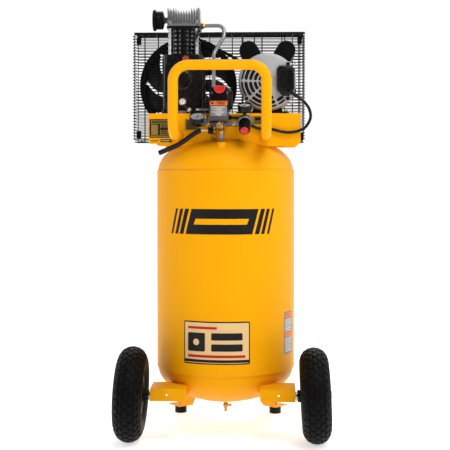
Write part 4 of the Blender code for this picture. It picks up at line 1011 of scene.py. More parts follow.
def make_bearing_cap():
    by0, by1 = (corner.y for corner in area("bearing_cap"))
    cap = [(0, by0 + 0.0035), (0.012, by0 + 0.0035), (0.0135, by0), (0.018, by0), (0.02, by0 + 0.0018),
        (0.0206, by0 + 0.006), (0.0215, by0 + 0.0075), (0.027, by0 + 0.0085), (0.0295, by0 + 0.0105),
        (0.03, by1), (0, by1)]
    lugs = [bolt((PUMP.x + 0.0246 * math.cos(a), by0 + 0.0088, CRANK_Z + 0.0246 * math.sin(a)), TO_FRONT,
        0.003, washer=False) for a in steps(math.pi / 4, TAU + math.pi / 4, 4)[:-1]]
    piece("bearing_cap_casting", join(lathe(cap, 72, "Y", (PUMP.x, 0, CRANK_Z)), *lugs), IRON, "black_iron",
        "bearing_cap")


def make_sight_glass():
    low, high = area("sight_glass")
    mid = (low + high) / 2
    ring = [(0.0062, high.y), (0.0062, low.y + 0.0012), (0.007, low.y), (0.0096, low.y),
        (0.0104, low.y + 0.0012), (0.0104, high.y)]
    piece("sight_glass_ring", lathe(ring, 48, "Y", (mid.x, 0, mid.z), closed=True), CHROME, "steel",
        "sight_glass")
    pane = [(0, high.y - 0.001), (0.0063, high.y - 0.001), (0.0063, low.y + 0.0018), (0, low.y + 0.0014)]
    piece("sight_glass_pane", lathe(pane, 40, "Y", (mid.x, 0, mid.z)), DIAL, None)
    piece("oil_level_dot", drum(0.0021, low.y + 0.0014, low.y + 0.0007, 24, "Y", (mid.x, 0, mid.z)), RED,
        "red_plastic")


def make_oil_cap():
    low, high = area("oil_fill_cap")
    mid = (low + high) / 2
    radius = (high.x - low.x) / 2
    outline = []
    for a in turns(72):
        outline.append(polar(radius * (0.955 + 0.045 * math.cos(12 * a)), a, (mid.x, mid.z)))
    grip = prism(outline, low.y + 0.0008, low.y + 0.0088, "Y")
    neck = drum(0.006, high.y, low.y + 0.008, 32, "Y", (mid.x, 0, mid.z))
    wing = prism(rounded(0.007, 0.0016, 0.0014, 4, (mid.x, mid.z)), low.y, low.y + 0.003, "Y")
    piece("oil_fill_cap_grip", join(grip, neck, wing), PINK, "red_plastic", "oil_fill_cap", body="oil_cap",
        bevel=0.0005)


def make_oil_drain():
    """An elbow at the foot of the case, which points down and to the right, and the foot's pale face."""
    y0 = area("crankcase")[0].y
    start = Vector((PUMP.x + 0.004, y0 + 0.001, 0.9475))
    out = [start, start + Vector((0.0, -0.009, 0.0)), start + Vector((0.015, -0.015, -0.011))]
    rods("oil_drain_elbow", [arcs(out, 0.005, 8)], 0.0042, IRON, "steel", resolution=5)
    way = (out[2] - out[1]).normalized()
    piece("oil_drain_cap", hexagon(0.0068, -0.001, 0.0062, tuple(way), out[2]), CHROME, "steel",
        bevel=0.0004)
    strip = block((PUMP.x - 0.012, y0 - 0.0006, 0.9262), (PUMP.x + 0.012, y0 - 0.0001, 0.933))
    piece("case_foot_face", strip, GREY_INK, "grey_metal", bevel=0.0002)


def fin_outline(half):
    """A square cooling fin with two flats across each corner."""
    corner = ((0.0, 0.02), (0.003, 0.0115), (0.0115, 0.003), (0.02, 0.0))
    points = []
    for turn in range(4):
        for cut_u, cut_v in corner:
            u, v = half - cut_u, half - cut_v
            for _ in range(turn):
                u, v = -v, u
            points.append((u, v))
    return points


def make_cylinder():
    """Square cooling fins on a bored barrel, with webs and a column in each corner."""
    (x0, _, z0), (x1, _, z1) = area("cylinder")
    half, fins, thick = (x1 - x0) / 2, 7, 0.0034
    pitch = (z1 - z0 - thick) / (fins - 1)
    parts = []
    bore_r = 0.0333
    for i in range(fins):
        z = z0 + i * pitch
        sharp, full = fin_outline(half - 0.0008), fin_outline(half)
        hole = [tuple(Vector(point).normalized() * bore_r) for point in full]
        rings = [[(PUMP.x + u, PUMP.y + v, h) for u, v in line] for line,
            h in ((hole, z), (sharp, z), (full, z + 0.0008), (full, z + thick - 0.0008), (sharp, z + thick),
            (hole, z + thick))]
        parts.append(loft(rings, closed=True))
    barrel = lathe([(bore_r, z0 + 0.0002), (0.034, z0 + 0.0002), (0.034, z1 - 0.0002),
        (bore_r, z1 - 0.0002)], 72, at=(PUMP.x, PUMP.y, 0), closed=True)
    web = [block((PUMP.x - 0.003, PUMP.y + near, z0 + 0.0004), (PUMP.x + 0.003, PUMP.y + far, z1 - 0.0004))
        for near, far in ((0.003 - half, -0.0338), (0.0338, half - 0.003))]
    # a column with a broad flat stands inside each corner of the fins
    posts = []
    for turn in range(4):
        flat = [(half - 0.0036, half - 0.012), (half - 0.012, half - 0.0036), (half - 0.015, half - 0.015)]
        post = prism(flat, z0 + 0.0003, z1 - 0.0003)
        posts.append(moved(post, (PUMP.x, PUMP.y, 0), Matrix.Rotation(turn * math.pi / 2, 4, "Z")))
    piece("cylinder_fins", join(barrel, *web, *posts, *parts), GLOSS, "black_paint", "cylinder", crease=20)


def make_valve_plate():
    (x0, y0, z0), (x1, y1, z1) = area("valve_plate")
    plate = prism(framed(x0, x1, y0, y1, 0.008), z0, z0 + 0.0038)
    seal = prism(framed(x0, x1, y0, y1, 0.0075, inset=0.001), z0 + 0.0038, z1)
    piece("valve_plate_steel", plate, BLACK, "black_paint", "valve_plate", bevel=0.0005)
    piece("head_gasket", seal, RUBBER, "rubber")


def make_cylinder_head():
    """Cast head: upright tapered fins on a thick base with a bolt boss in each corner."""
    (x0, y0, z0), (x1, y1, z1) = area("cylinder_head")
    half, mid = (x1 - x0) / 2, Vector(((x0 + x1) / 2, (y0 + y1) / 2, 0))
    base = z0 + 0.0065
    parts = [prism(rounded(half, (y1 - y0) / 2, 0.007, 6, (mid.x, mid.y)), z0, base)]
    fins = 13
    pitch = (2 * half - 0.0036) / (fins - 1)
    for i in range(fins):
        x = mid.x - half + 0.0018 + i * pitch
        off = abs(i - (fins - 1) / 2)
        top = z1 - (0.0075 if off < 2.5 else 0.0015 if i % 2 else 0.0)
        root, tip = (0.0026, 0.0009) if 0 < i < fins - 1 else (0.0034, 0.0016)
        lean = 0.0016 * (i - (fins - 1) / 2) / (fins / 2)
        back, front = y1 - 0.001, y0 + 0.001
        rings = []
        for z, wide, push, inset in ((base - 0.001, root, -lean, 0.0), (z0 + 0.024, (root + tip) / 2,
                -lean / 2, 0.0), (top - 0.006, tip, 0.0, 0.0015), (top, tip * 0.7, 0.0, 0.006)):
            rings.append([(x + push - wide / 2, front + inset, z), (x + push + wide / 2, front + inset, z),
                (x + push + wide / 2, back - inset, z), (x + push - wide / 2, back - inset, z)])
        parts.append(loft(rings))
    for sx in (-1, 1):
        for sy in (-1, 1):
            at = (mid.x + sx * (half - 0.0085), mid.y + sy * ((y1 - y0) / 2 - 0.0085), 0)
            parts.append(lathe([(0, base - 0.002), (0.0085, base - 0.002), (0.0078, base + 0.0085),
                (0, base + 0.0085)], 32, at=at))
    core = prism(rounded(half - 0.01, (y1 - y0) / 2 - 0.007, 0.006, 4, (mid.x, mid.y)), base - 0.002,
        base + 0.0045)
    port = [(x1 - 0.006, z0 + 0.0005), (x1 + 0.0012, z0 + 0.0005), (x1 + 0.0012, z0 + 0.0135),
        (x1 + 0.001, z1 - 0.008), (x1 - 0.004, z1 - 0.002), (x1 - 0.006, z1 - 0.002)]
    port_block = prism(port, -0.0575, -0.032, "Y")
    intake = prism(rounded(0.0125, 0.011, 0.005, 5, (-0.0185, z0 + 0.018)), x0 - 0.0006, x0 + 0.008, "X")
    piece("cylinder_head_casting", join(core, port_block, intake, *parts), ALUMINIUM, "aluminium",
        "cylinder_head", bevel=0.0005, segments=1, crease=45)
    heads = []
    for sx in (-1, 1):
        at = (mid.x + sx * (half - 0.0062), y0 - 0.0002, z0 + 0.0032)
        heads.append(bolt(at, TO_FRONT, 0.003, height=0.0022))
        for sy in (-1, 1):
            at = (mid.x + sx * (half - 0.0085), mid.y + sy * ((y1 - y0) / 2 - 0.0085), base + 0.0085)
            heads.append(bolt(at, "Z", 0.0052))
    piece("cylinder_head_bolts", join(*heads), STEEL, "steel", bevel=0.0003, segments=1)


def make_intake_filter():
    """A ribbed canister with its lid and nut, on a pale neck."""
    (x0, y0, z0), (x1, y1, z1) = area("intake_filter")
    at = (0, (y0 + y1) / 2, (z0 + z1) / 2)
    shell = [(0, x1 - 0.012), (0.018, x1 - 0.012), (0.0232, x1 - 0.0132), (0.0252, x1 - 0.0165),
        (0.0256, x1 - 0.0195), (0.0246, x1 - 0.0215), (0.0256, x1 - 0.0235), (0.0258, x1 - 0.035),
        (0.0, x1 - 0.035)]
    lid = [(0, x1 - 0.0352), (0.0298, x1 - 0.0352), (0.031, x1 - 0.0366), (0.031, x0 + 0.002),
        (0.0298, x0 + 0.0006), (0.0262, x0), (0.025, x0 + 0.001), (0.012, x0 + 0.0018), (0, x0 + 0.0018)]
    ribs = []
    for a in turns(20):
        ribs.append(moved(block((x0 + 0.0022, -0.0009, 0.0304), (x1 - 0.0362, 0.0009, 0.0316)), at,
            Matrix.Rotation(a, 4, "X")))
    for a in turns(6):
        ribs.append(moved(block((x1 - 0.0345, -0.0012, 0.024), (x1 - 0.015, 0.0012, 0.0268)), at,
            Matrix.Rotation(a, 4, "X")))
    nut = hexagon(0.0052, x0 + 0.0002, x0 + 0.003, "X", at)
    piece("intake_filter_canister", join(lathe(shell, 72, "X", at), lathe(lid, 72, "X", at), nut, *ribs),
        PLASTIC, "black_plastic", "intake_filter", bevel=0.0004, segments=1, crease=45)
    neck = [(0, x1), (0.0108, x1), (0.0108, x1 - 0.002), (0.0086, x1 - 0.003), (0.0086, x1 - 0.0085),
        (0.011, x1 - 0.01), (0.011, x1 - 0.0122), (0, x1 - 0.0122)]
    piece("intake_neck", lathe(neck, 40, "X", at), ZINC, "grey_metal", bevel=0.0003, segments=1)


def groove(r):
    """The belt's groove in a pulley of that radius."""
    deep, floor, wide = 0.0125, 0.0045, 0.0075
    return [(r, BELT_Y - wide), (r - deep, BELT_Y - floor), (r - deep, BELT_Y + floor), (r, BELT_Y + wide)]


def make_drive():
    """Flywheel with curved fan blades, and the nut on the crankshaft's end."""
    low, high = area("flywheel")
    y0 = low.y
    centre = (PUMP.x, 0, CRANK_Z)
    r = (high.x - low.x) / 2
    half = 0.012
    rim = [(r - 0.0185, BELT_Y - half + 0.001), (r - 0.0175, BELT_Y - half), (r - 0.001, BELT_Y - half),
        (r, BELT_Y - half + 0.001), *groove(r), (r, BELT_Y + half - 0.001), (r - 0.001, BELT_Y + half),
        (r - 0.0175, BELT_Y + half), (r - 0.0185, BELT_Y + half - 0.001)]
    hub = [(0.0129, y0), (0.0265, y0), (0.028, y0 + 0.0015), (0.028, BELT_Y - 0.006),
        (0.04, BELT_Y - 0.004), (0.043, BELT_Y), (0.04, BELT_Y + 0.004), (0.028, BELT_Y + 0.006),
        (0.028, BELT_Y + half - 0.001), (0.027, BELT_Y + half), (0.0129, BELT_Y + half)]
    parts = [lathe(rim, 144, "Y", centre, closed=True), lathe(hub, 72, "Y", centre, closed=True)]
    blades, rows = 8, 12
    step = TAU / blades
    for i in range(blades):
        rings = []
        for share in steps(0, 1, rows):
            reach = 0.038 + share * (r - 0.0185 + 0.002 - 0.038)
            bend = math.radians(14 - 30 * min(1.0, (reach - 0.042) / 0.084) ** 2)
            lead = math.radians(12) + i * step + bend
            gap = (0.0035 + 0.003 * math.sin(math.pi * share)) / reach
            one, two = lead + gap, lead + step - gap
            thick = 0.0026
            pitch_y = 0.0048 * math.sin(math.pi * (0.15 + 0.7 * share))
            ring = []
            for start, end, face in ((one, two, -1), (two, one, 1)):
                for k, a in enumerate(steps(start, end, 8)):
                    across = -face * (k / 8 - 0.5) * 2
                    lift = pitch_y * across + face * thick * (1 - 0.5 * abs(across))
                    x, z = polar(reach, a, (PUMP.x, CRANK_Z))
                    ring.append((x, BELT_Y + lift, z))
            rings.append(ring)
        parts.append(loft(rings))
    piece("flywheel_casting", join(*parts), IRON, "black_iron", "flywheel", body="crank", crease=32)
    end_y = area("crankshaft")[1].y
    nut = join(hexagon(0.0125, end_y - 0.0125, end_y - 0.003, "Y", centre),
        lathe([(0, end_y - 0.02), (0.0075, end_y - 0.02), (0.0075, end_y - 0.0012), (0.0065, end_y),
        (0, end_y)], 32, "Y", centre), drum(0.0165, BELT_Y + half, end_y - 0.0115, 40, "Y", centre))
    for name, material in (("crankshaft", TURNED), ("connecting_rod", TURNED), ("piston", ALUMINIUM)):
        repaint(name, material)
    piece("crankshaft_nut", nut, STEEL, "steel", body="crank", bevel=0.0003, segments=1)


make_platform()
make_handle()
make_crankcase()
make_bearing_cap()
make_sight_glass()
make_oil_cap()
make_oil_drain()
make_cylinder()
make_valve_plate()
make_cylinder_head()
make_intake_filter()
make_drive()


# Motor --------------------------------------------------------------------------------------------

MOTOR = Vector((0.124, 0, 1.018))
MOTOR_R = (area("motor_shell")[1].x - area("motor_shell")[0].x) / 2
MOTOR_FRONT = area("motor_front_bell")[0].y
THROUGH_BOLT_R = 0.0775
THROUGH_BOLTS = (40, 140, 220, 320)     # where the motor's long bolts are, in degrees
CAPACITOR_LEAN = math.radians(30)


def arc_slot(r0, r1, start, end, low, high):
    """A curved slot with round ends between two radii and two angles."""
    mid, half = (r0 + r1) / 2, (r1 - r0) / 2
    a, b = math.radians(start), math.radians(end)
    trim = half / mid
    outline = []
    for angle in steps(a + trim, b - trim, 10):
        outline.append((r1 * math.cos(angle), r1 * math.sin(angle)))
    cap = b - trim
    outline += [(mid * math.cos(cap) + half * math.cos(cap + t), mid * math.sin(cap) + half
        * math.sin(cap + t)) for t in steps(0, math.pi, 5)[1:-1]]
    for angle in steps(b - trim, a + trim, 10):
        outline.append((r0 * math.cos(angle), r0 * math.sin(angle)))
    cap = a + trim
    outline += [(mid * math.cos(cap) + half * math.cos(cap + t), mid * math.sin(cap) + half
        * math.sin(cap + t)) for t in steps(math.pi, TAU, 5)[1:-1]]
    return prism(outline, low, high, "Y")


# inner and outer radius of each row of slots in the motor's front bell
BELL_ROWS = ((0.02, 0.0265), (0.0305, 0.04), (0.0437, 0.0535), (0.0572, 0.067), (0.0705, 0.0765))


def sector(radius, half, count=12):
    """Points along a circle about the motor's axis, from half left of the top to half right of it."""
    reach = math.asin(half / radius)
    return [(radius * math.sin(a), radius * math.cos(a)) for a in steps(-reach, reach, count)]


def round_motor(reach, degrees, y):
    """A place at that reach and angle from the motor's axis."""
    x, z = polar(reach, math.radians(degrees), (MOTOR.x, MOTOR.z))
    return x, y, z


def make_motor_bell():
    """The slotted front bell, its bearing cover and bolts, and the windings behind it."""
    at = tuple(MOTOR)
    (x0, front, _), (x1, split, _) = area("motor_front_bell")
    r = (x1 - x0) / 2
    bell = [(r - 0.001, split), (r, split - 0.001), (r, split - 0.0085), (r - 0.0016, split - 0.0095),
        (r - 0.0016, front + 0.01), (r - 0.0026, front + 0.0055), (r - 0.0052, front + 0.0022),
        (r - 0.009, front + 0.001), (0.03, front + 0.0006), (0.0262, front - 0.0004),
        (0.0225, front - 0.0004), (0.0205, front + 0.002), (0.0088, front + 0.002), (0.0088, front + 0.007),
        (0.074, front + 0.007), (0.076, split)]
    slots = []
    for start, end, inner in ((136, 176, 0), (180.5, 221, 0), (225.5, 262, 0), (266.5, 292, 1),
            (296, 317, 3)):
        for r0, r1 in BELL_ROWS[inner:]:
            slots.append(arc_slot(r0, r1, start, end, front - 0.01, front + 0.02))
    casting = lathe(bell, 120, "Y", at, closed=True)
    casting = carve(casting, *[moved(s, at) for s in slots])
    extras = []
    for angle in THROUGH_BOLTS:
        spot = round_motor(THROUGH_BOLT_R, angle, 0)
        extras.append(lathe([(0, front + 0.006), (0.0088, front + 0.006), (0.0082, front - 0.0006),
            (0, front - 0.0006)], 32, "Y", spot))
    for angle in (178.2, 223.2, 264.2):
        rib = prism(rounded(0.0255, 0.0018, 0.0017, 3), front - 0.0008, front + 0.004, "Y")
        lean = Matrix.Rotation(-math.radians(angle), 4, "Y")
        extras.append(moved(rib, round_motor(0.052, angle, 0), lean))
    pad = prism([(0.03, -0.046), (0.076, -0.034), (0.08, 0.02), (0.064, 0.052), (0.03, 0.046)],
        front - 0.0007, front + 0.003, "Y", at)
    extras.append(pad)
    piece("motor_bell_casting", join(casting, *extras), BELL, "aluminium", "motor_front_bell", bevel=0.0006,
        segments=2, crease=38)
    # the disc and coils behind the slots carry the near-black painted shade of the motor's inside
    inside = lathe([(0.01, front + 0.0076), (0.0735, front + 0.0076), (0.0735, front + 0.0125),
        (0.01, front + 0.0125)], 64, "Y", at, closed=True)
    coils = []
    for a in turns(24):
        coil = prism(rounded(0.0085, 0.005, 0.0045, 5, (0.056, 0)), front + 0.007, front + 0.012, "Y")
        coils.append(moved(coil, at, Matrix.Rotation(a, 4, "Y")))
    piece("motor_windings", join(inside, *coils), SHADOW, "black_paint", bevel=0.0004, segments=1)
    screws = []
    for angle in THROUGH_BOLTS:
        spot = round_motor(THROUGH_BOLT_R, angle, front - 0.0007)
        screws.append(bolt(spot, TO_FRONT, 0.0042, height=0.0026))
    piece("motor_through_bolts", join(*screws), BLACK, "black_paint", bevel=0.0002, segments=1)
    cover = [(0.0082, front + 0.0062), (0.0082, front + 0.0035), (0.015, front + 0.0035),
        (0.0175, front + 0.0022), (0.0195, front + 0.0026)]
    piece("motor_bearing_cover", lathe(cover, 64, "Y", at, closed=True), BELL, "aluminium")


def make_motor_shell():
    """The shell with the rear bell, and near-black patches of painted shade that stand in for the vent
    openings in its back.
    """
    at = tuple(MOTOR)
    r = MOTOR_R
    y0, y1 = (corner.y for corner in area("motor_shell"))
    shell = [(r - 0.0015, y0), (r, y0 + 0.001), (r, y1 - 0.03), (r + 0.0012, y1 - 0.029),
        (r + 0.0012, y1 - 0.0125), (r - 0.002, y1 - 0.006), (r - 0.008, y1), (0.018, y1),
        (0.016, y1 - 0.004), (0.0088, y1 - 0.004), (0.0088, y1 - 0.0115), (0.049, y1 - 0.0195), (0.049, y0)]
    piece("motor_shell_steel", lathe(shell, 120, "Y", at, closed=True), BELL, "aluminium", "motor_shell",
        bevel=0.0005, segments=1)
    # the vent openings are not cut: thin near-black patches on the back paint the shade inside them
    vent_shade = [moved(arc_slot(0.044, 0.066, 30 * i + 6, 30 * i + 24, y1 - 0.002, y1 + 0.0003), at)
        for i in range(12)]
    piece("painted_rear_vent_shade", join(*vent_shade), SHADOW, "black_paint")
    repaint("motor_rotor", TURNED)


def make_capacitors():
    """A ribbed plastic cover on each side of the motor's top."""
    for side, sign in (("left", -1), ("right", 1)):
        cy0, cy1 = (corner.y for corner in area(side + "_capacitor_cover"))
        wide, crown, seat = 0.0272, 0.1095, MOTOR_R + 0.0004
        cap = sector(seat, wide) + [polar(wide, a, (0, crown)) for a in steps(0, math.pi, 28)]
        parts = [prism(cap, cy0, cy1, "Y")]
        flange = sector(seat, wide + 0.0022) + sector(seat + 0.0045, wide + 0.0022)[::-1]
        parts.append(prism(flange, cy0 + 0.001, cy1 - 0.001, "Y"))
        for k in range(7):
            x = -0.018 + k * 0.006
            top = crown + math.sqrt(wide ** 2 - x ** 2) - 0.0035
            parts.append(prism([(x - 0.0008, 0.088), (x + 0.0008, 0.088), (x + 0.0008, top),
                (x - 0.0008, top)], cy0 - 0.0009, cy0 + 0.001, "Y"))
        for k in range(9):
            y = cy0 + 0.012 + k * (cy1 - cy0 - 0.024) / 8
            rib = [polar(wide + 0.0006, a, (0, crown)) for a in steps(math.radians(-8), math.radians(188),
                24)]
            parts.append(prism(rib, y - 0.001, y + 0.001, "Y"))
        turn = Matrix.Rotation(sign * CAPACITOR_LEAN, 4, "Y")
        piece(side + "_capacitor_shell", moved(join(*parts), tuple(MOTOR), turn), PLASTIC, "black_plastic",
            side + "_capacitor_cover", bevel=0.0012, segments=2)
        heads = []
        for edge in (-1, 1):
            tip = turn @ Vector((edge * (wide - 0.0002), 0, 0.08))
            spot = (tip.x + MOTOR.x, cy0 + 0.0006, tip.z + MOTOR.z)
            heads.append(screw_head(spot, TO_FRONT, 0.0028))
        piece(side + "_capacitor_screws", join(*heads), STEEL, "steel")


def make_terminal_cover():
    """The lid over the motor's terminals, the cord's relief and the ground strap."""
    (x0, y0, z0), (x1, y1, z1) = area("terminal_cover")
    corner = [(x0, z0 + 0.017), (x0 + 0.017, z0), (x1 - 0.016, z0), (x1, z0 + 0.017), (x1, z1 - 0.01),
        (x1 - 0.008, z1), (x0 + 0.007, z1), (x0, z1 - 0.01)]
    mid = Vector(((x0 + x1) / 2, (z0 + z1) / 2))

    def scaled(grow, dx=0.0, dz=0.0):
        return [(mid.x + (x - mid.x) * grow + dx, mid.y + (z - mid.y) * grow + dz) for x, z in corner]

    rings = [[(x, y, z) for x, z in line] for line, y in ((scaled(1.0), y1), (scaled(1.0), y1 - 0.0035),
        (scaled(0.965), y1 - 0.0042), (scaled(0.935), y0 + 0.0035), (scaled(0.9), y0 + 0.001),
        (scaled(0.84), y0), (scaled(0.72), y0), (scaled(0.7), y0 + 0.0009))]
    cover = loft(rings)
    corners = ((x0 + 0.008, z1 - 0.01), (x1 - 0.008, z0 + 0.021))
    lugs = [drum(0.0052, y1, y0 + 0.006, 28, "Y", (x, 0, z)) for x, z in corners]
    piece("terminal_cover_lid", join(cover, *lugs), SATIN, "black_plastic", "terminal_cover", bevel=0.0008,
        segments=2)
    heads = [screw_head((x, y0 + 0.006, z), TO_FRONT, 0.0036) for x, z in corners]
    heads.append(screw_head((x1 + 0.0012, MOTOR_FRONT - 0.0022, z1 + 0.0085), TO_FRONT, 0.004))
    piece("terminal_cover_screws", join(*heads), STEEL, "steel")
    gland_at = Vector(MOTOR_CORD_ROUTE[-1])
    way = (gland_at - Vector(MOTOR_CORD_ROUTE[-2])).normalized()
    relief = []
    for i in range(6):
        low = -0.02 + i * 0.0032
        relief.append(lathe([(0, low), (0.005 + i * 0.00022, low), (0.0052 + i * 0.00022, low + 0.0022),
            (0, low + 0.0022)], 28, tuple(way), gland_at))
    relief.append(lathe([(0, -0.02), (0.0047, -0.02), (0.0056, 0.003), (0, 0.003)], 28, tuple(way),
        gland_at))
    piece("motor_cord_relief", join(*relief), RUBBER, "rubber")
    strap = prism([(0.1945, 0.95), (0.2025, 0.9745), (0.2, 0.976), (0.1918, 0.9515)], MOTOR_FRONT + 0.004,
        MOTOR_FRONT + 0.012, "Y")
    piece("ground_strap", strap, CHROME, "steel", bevel=0.0004)


def make_motor_base():
    """The cradle under the motor and its bolts."""
    (x0, y0, z0), (x1, y1, _) = area("motor_base")
    parts = []
    for y in (y0, y1 - 0.022):
        saddle = [(x0 + 0.002, z0 + 0.0035), (x0 + 0.02, z0 + 0.006), (x0 + 0.028, z0 + 0.024),
            (MOTOR.x - 0.046, z0 + 0.034), (MOTOR.x - 0.036, z0 + 0.0225), (MOTOR.x, z0 + 0.011),
            (MOTOR.x + 0.036, z0 + 0.0225), (MOTOR.x + 0.046, z0 + 0.034), (x1 - 0.028, z0 + 0.024),
            (x1 - 0.02, z0 + 0.006), (x1 - 0.002, z0 + 0.0035)]
        parts.append(prism(saddle, y, y + 0.022, "Y"))
    plate = prism(framed(x0, x1, y0, y1, 0.006, 5), z0, z0 + 0.0038)
    base = carve(join(*parts), drum(MOTOR_R + 0.0006, -0.12, 0.13, 96, "Y", tuple(MOTOR)))
    piece("motor_base_cradle", join(base, plate), BLACK, "black_paint", "motor_base", bevel=0.0008,
        segments=2)
    heads = [bolt((x, y, z0 + 0.0038), "Z", 0.0058, stud=0.003) for x in (x0 + 0.008, x1 - 0.008)
        for y in (y0 + 0.011, y1 - 0.011)]
    piece("motor_base_bolts", join(*heads), STEEL, "steel", bevel=0.0003, segments=1)


def make_belt_drive():
    """The pulley on the rotor's end, with its grub screw, and the belt."""
    low, high = area("motor_pulley")
    y0 = low.y
    r = (high.x - low.x) / 2
    at = tuple(MOTOR)
    pulley = [(0.0084, y0), (0.014, y0), (0.015, y0 + 0.001), (0.015, BELT_Y - 0.0118),
        (r - 0.0012, BELT_Y - 0.012), (r, BELT_Y - 0.0108), *groove(r), (r, BELT_Y + 0.0108),
        (r - 0.0012, BELT_Y + 0.012), (0.03, BELT_Y + 0.012), (0.027, BELT_Y + 0.0085),
        (0.016, BELT_Y + 0.0085), (0.0145, BELT_Y + 0.012), (0.0084, BELT_Y + 0.012)]
    grub = lathe([(0, 0.0125), (0.0026, 0.0125), (0.0026, 0.0158), (0.0013, 0.0158), (0.0013, 0.0145),
        (0, 0.0145)], 20, "Z", (MOTOR.x, y0 + 0.003, MOTOR.z))
    piece("pulley_casting", join(lathe(pulley, 96, "Y", at, closed=True), grub), IRON, "black_iron",
        "motor_pulley", body="rotor")
    big, small = Vector((PUMP.x, CRANK_Z)), Vector((MOTOR.x, MOTOR.z))
    fly_r = 0.151
    pull = small - big
    lean = math.atan2(pull.y, pull.x)
    wrapped = math.acos((fly_r - r) / pull.length)
    rings = []
    track = []
    for centre, radius, start, end, count in ((big, fly_r, lean + wrapped, lean + TAU - wrapped, 110),
            (small, r, lean - wrapped, lean + wrapped, 44)):
        track += [(centre, radius, a) for a in steps(start, end, count)]
    for centre, radius, a in track:
        ring = []
        for inset, wide in ((0.0015, 0.0058), (0.0021, 0.0065), (0.009, 0.0044), (0.0095, 0.0038)):
            spot = centre + Vector((math.cos(a), math.sin(a))) * (radius - inset)
            ring.append((spot, wide))
        rings.append([(p.x, BELT_Y - w, p.y) for p, w in ring] + [(p.x, BELT_Y + w, p.y) for p,
            w in ring[::-1]])
    piece("v_belt_rubber", loft(rings, closed=True), BELT, "rubber", "v_belt", crease=30)


# Belt guard ---------------------------------------------------------------------------------------

def make_guard():
    """Wire panels: level wires at a close pitch, a few upright ones, rims, and clips at the corners."""
    wire, rim = 0.0013, 0.0022
    (x0, _, z0), (x1, y1, z1) = area("guard_rear")
    y0, y1 = area("guard_front")[0].y + wire, y1 - wire
    levels = steps(z0 + 0.003, z1 - 0.003, 37)
    corner = 0.016

    def u_path(z):
        """Along the left side, the back and the right side."""
        return arcs([(x0 + wire, y0 + 0.004, z), (x0 + wire, y1, z), (x1 - wire, y1, z),
            (x1 - wire, y0 + 0.004, z)], corner, 5)

    front = [[(x0 + 0.0004, y0, z), (x1 - 0.0004, y0, z)] for z in levels[1:-1]]
    rods("guard_front_wires", front, wire, WIRE, "black_paint", "guard_front", resolution=1)
    rods("guard_rear_wires", [u_path(z) for z in levels[1:-1]], wire, WIRE, "black_paint", "guard_rear",
        resolution=1)
    for name, z in (("top", z1 - wire * 1.2), ("bottom", z0 + wire * 1.2)):
        rows = [[(x0 + 0.004, y, z), (x1 - 0.004, y, z)] for y in steps(y0 + 0.01, y1 - 0.01, 9)]
        rods("guard_%s_wires" % name, rows, wire, WIRE, "black_paint", resolution=1)
    uprights = (-0.268, -0.2249, -0.14, -0.06, 0.012, 0.046, 0.082, 0.106, 0.17, 0.203, 0.227)
    shift = 2 * wire
    front_up = [[(x, y0 + shift, z0 + 0.001), (x, y0 + shift, z1 - 0.001)]
        for x in (-0.2549, -0.2132, 0.0455, 0.084, 0.1075, 0.1685, 0.1768, 0.22)]
    rods("guard_front_uprights", front_up, wire * 1.15, WIRE, "black_paint", resolution=2)
    hoops = []
    for x in uprights:
        hoops.append(arcs([(x, y0 + 0.006, z1 - wire * 3), (x, y1 - shift, z1 - wire * 3),
            (x, y1 - shift, z0 + wire * 3), (x, y0 + 0.006, z0 + wire * 3)], corner * 0.8, 5))
    rods("guard_hoops", hoops, wire * 1.15, WIRE, "black_paint", resolution=2)
    half = ((x1 - x0) / 2, (z1 - z0) / 2)
    mid = ((x0 + x1) / 2, (z0 + z1) / 2)
    rims = []
    for y, grow in ((y0 + 0.003, 0.0034), (y1 - 0.004, 0.0016)):
        outline = rounded(half[0] - rim - grow, half[1] - rim - grow, 0.007, 5, mid)
        rims.append([(u, y, v) for u, v in outline])
    rods("guard_rims", rims, wire, WIRE, "black_paint", resolution=2, cyclic=True)
    bars_z = ((y0 - 0.0003, z1 - 0.0062), (y0 + 0.005, z1 - 0.0022), (y1 - 0.004, z1 - 0.003))
    rods("guard_top_bars", [[(x0 + 0.0045, y, z), (x1 - 0.0005, y, z)] for y, z in bars_z], rim, WIRE,
        "black_paint", resolution=3)
    clips = []
    for x, z in ((x0 + 0.019, z1 - 0.026), (x0 + 0.019, z0 + 0.024), (x1 - 0.017, z1 - 0.026),
            (x1 - 0.014, z0 + 0.018), (mid[0], z1 - 0.004)):
        wide, tall = (0.007, 0.0115) if abs(x - mid[0]) > 0.05 else (0.012, 0.0035)
        clips.append(prism(rounded(wide, tall, 0.0015, 3, (x, z)), y0 - 0.0012, y0 + 0.0088, "Y"))
        for step_z in (-0.5, 0.0, 0.5):
            clips.append(prism(rounded(wide * 0.72, 0.001, 0.0005, 2, (x, z + step_z * tall)), y0 - 0.002,
                y0 - 0.001, "Y"))
    piece("guard_clips", join(*clips), PLASTIC, "black_plastic", bevel=0.0004, segments=1)
    plate_x, plate_z = 0.2065, 1.013
    arms = [prism(rounded(0.006, 0.0155, 0.002, 3, (plate_x, plate_z)), y0 - 0.005, y0 - 0.0016, "Y")]
    for x in (-0.15, 0.15):
        arms.append(block((x - 0.01, area("platform")[1].y + 0.0002, 0.88), (x + 0.01, y0 - 0.0002, 0.912)))
    piece("guard_brackets", join(*arms), BLACK, "black_paint", bevel=0.0008)
    piece("guard_bracket_bolt", bolt((plate_x, y0 - 0.005, plate_z), TO_FRONT, 0.0042), STEEL, "steel",
        bevel=0.0002, segments=1)


make_motor_bell()
make_motor_shell()
make_capacitors()
make_terminal_cover()
make_motor_base()
make_belt_drive()
make_guard()


# Controls -----------------------------------------------------------------------------------------

STAND_X, STAND_Y = STAND
PIPE_Z = 0.893          # height of the control pipe's axis


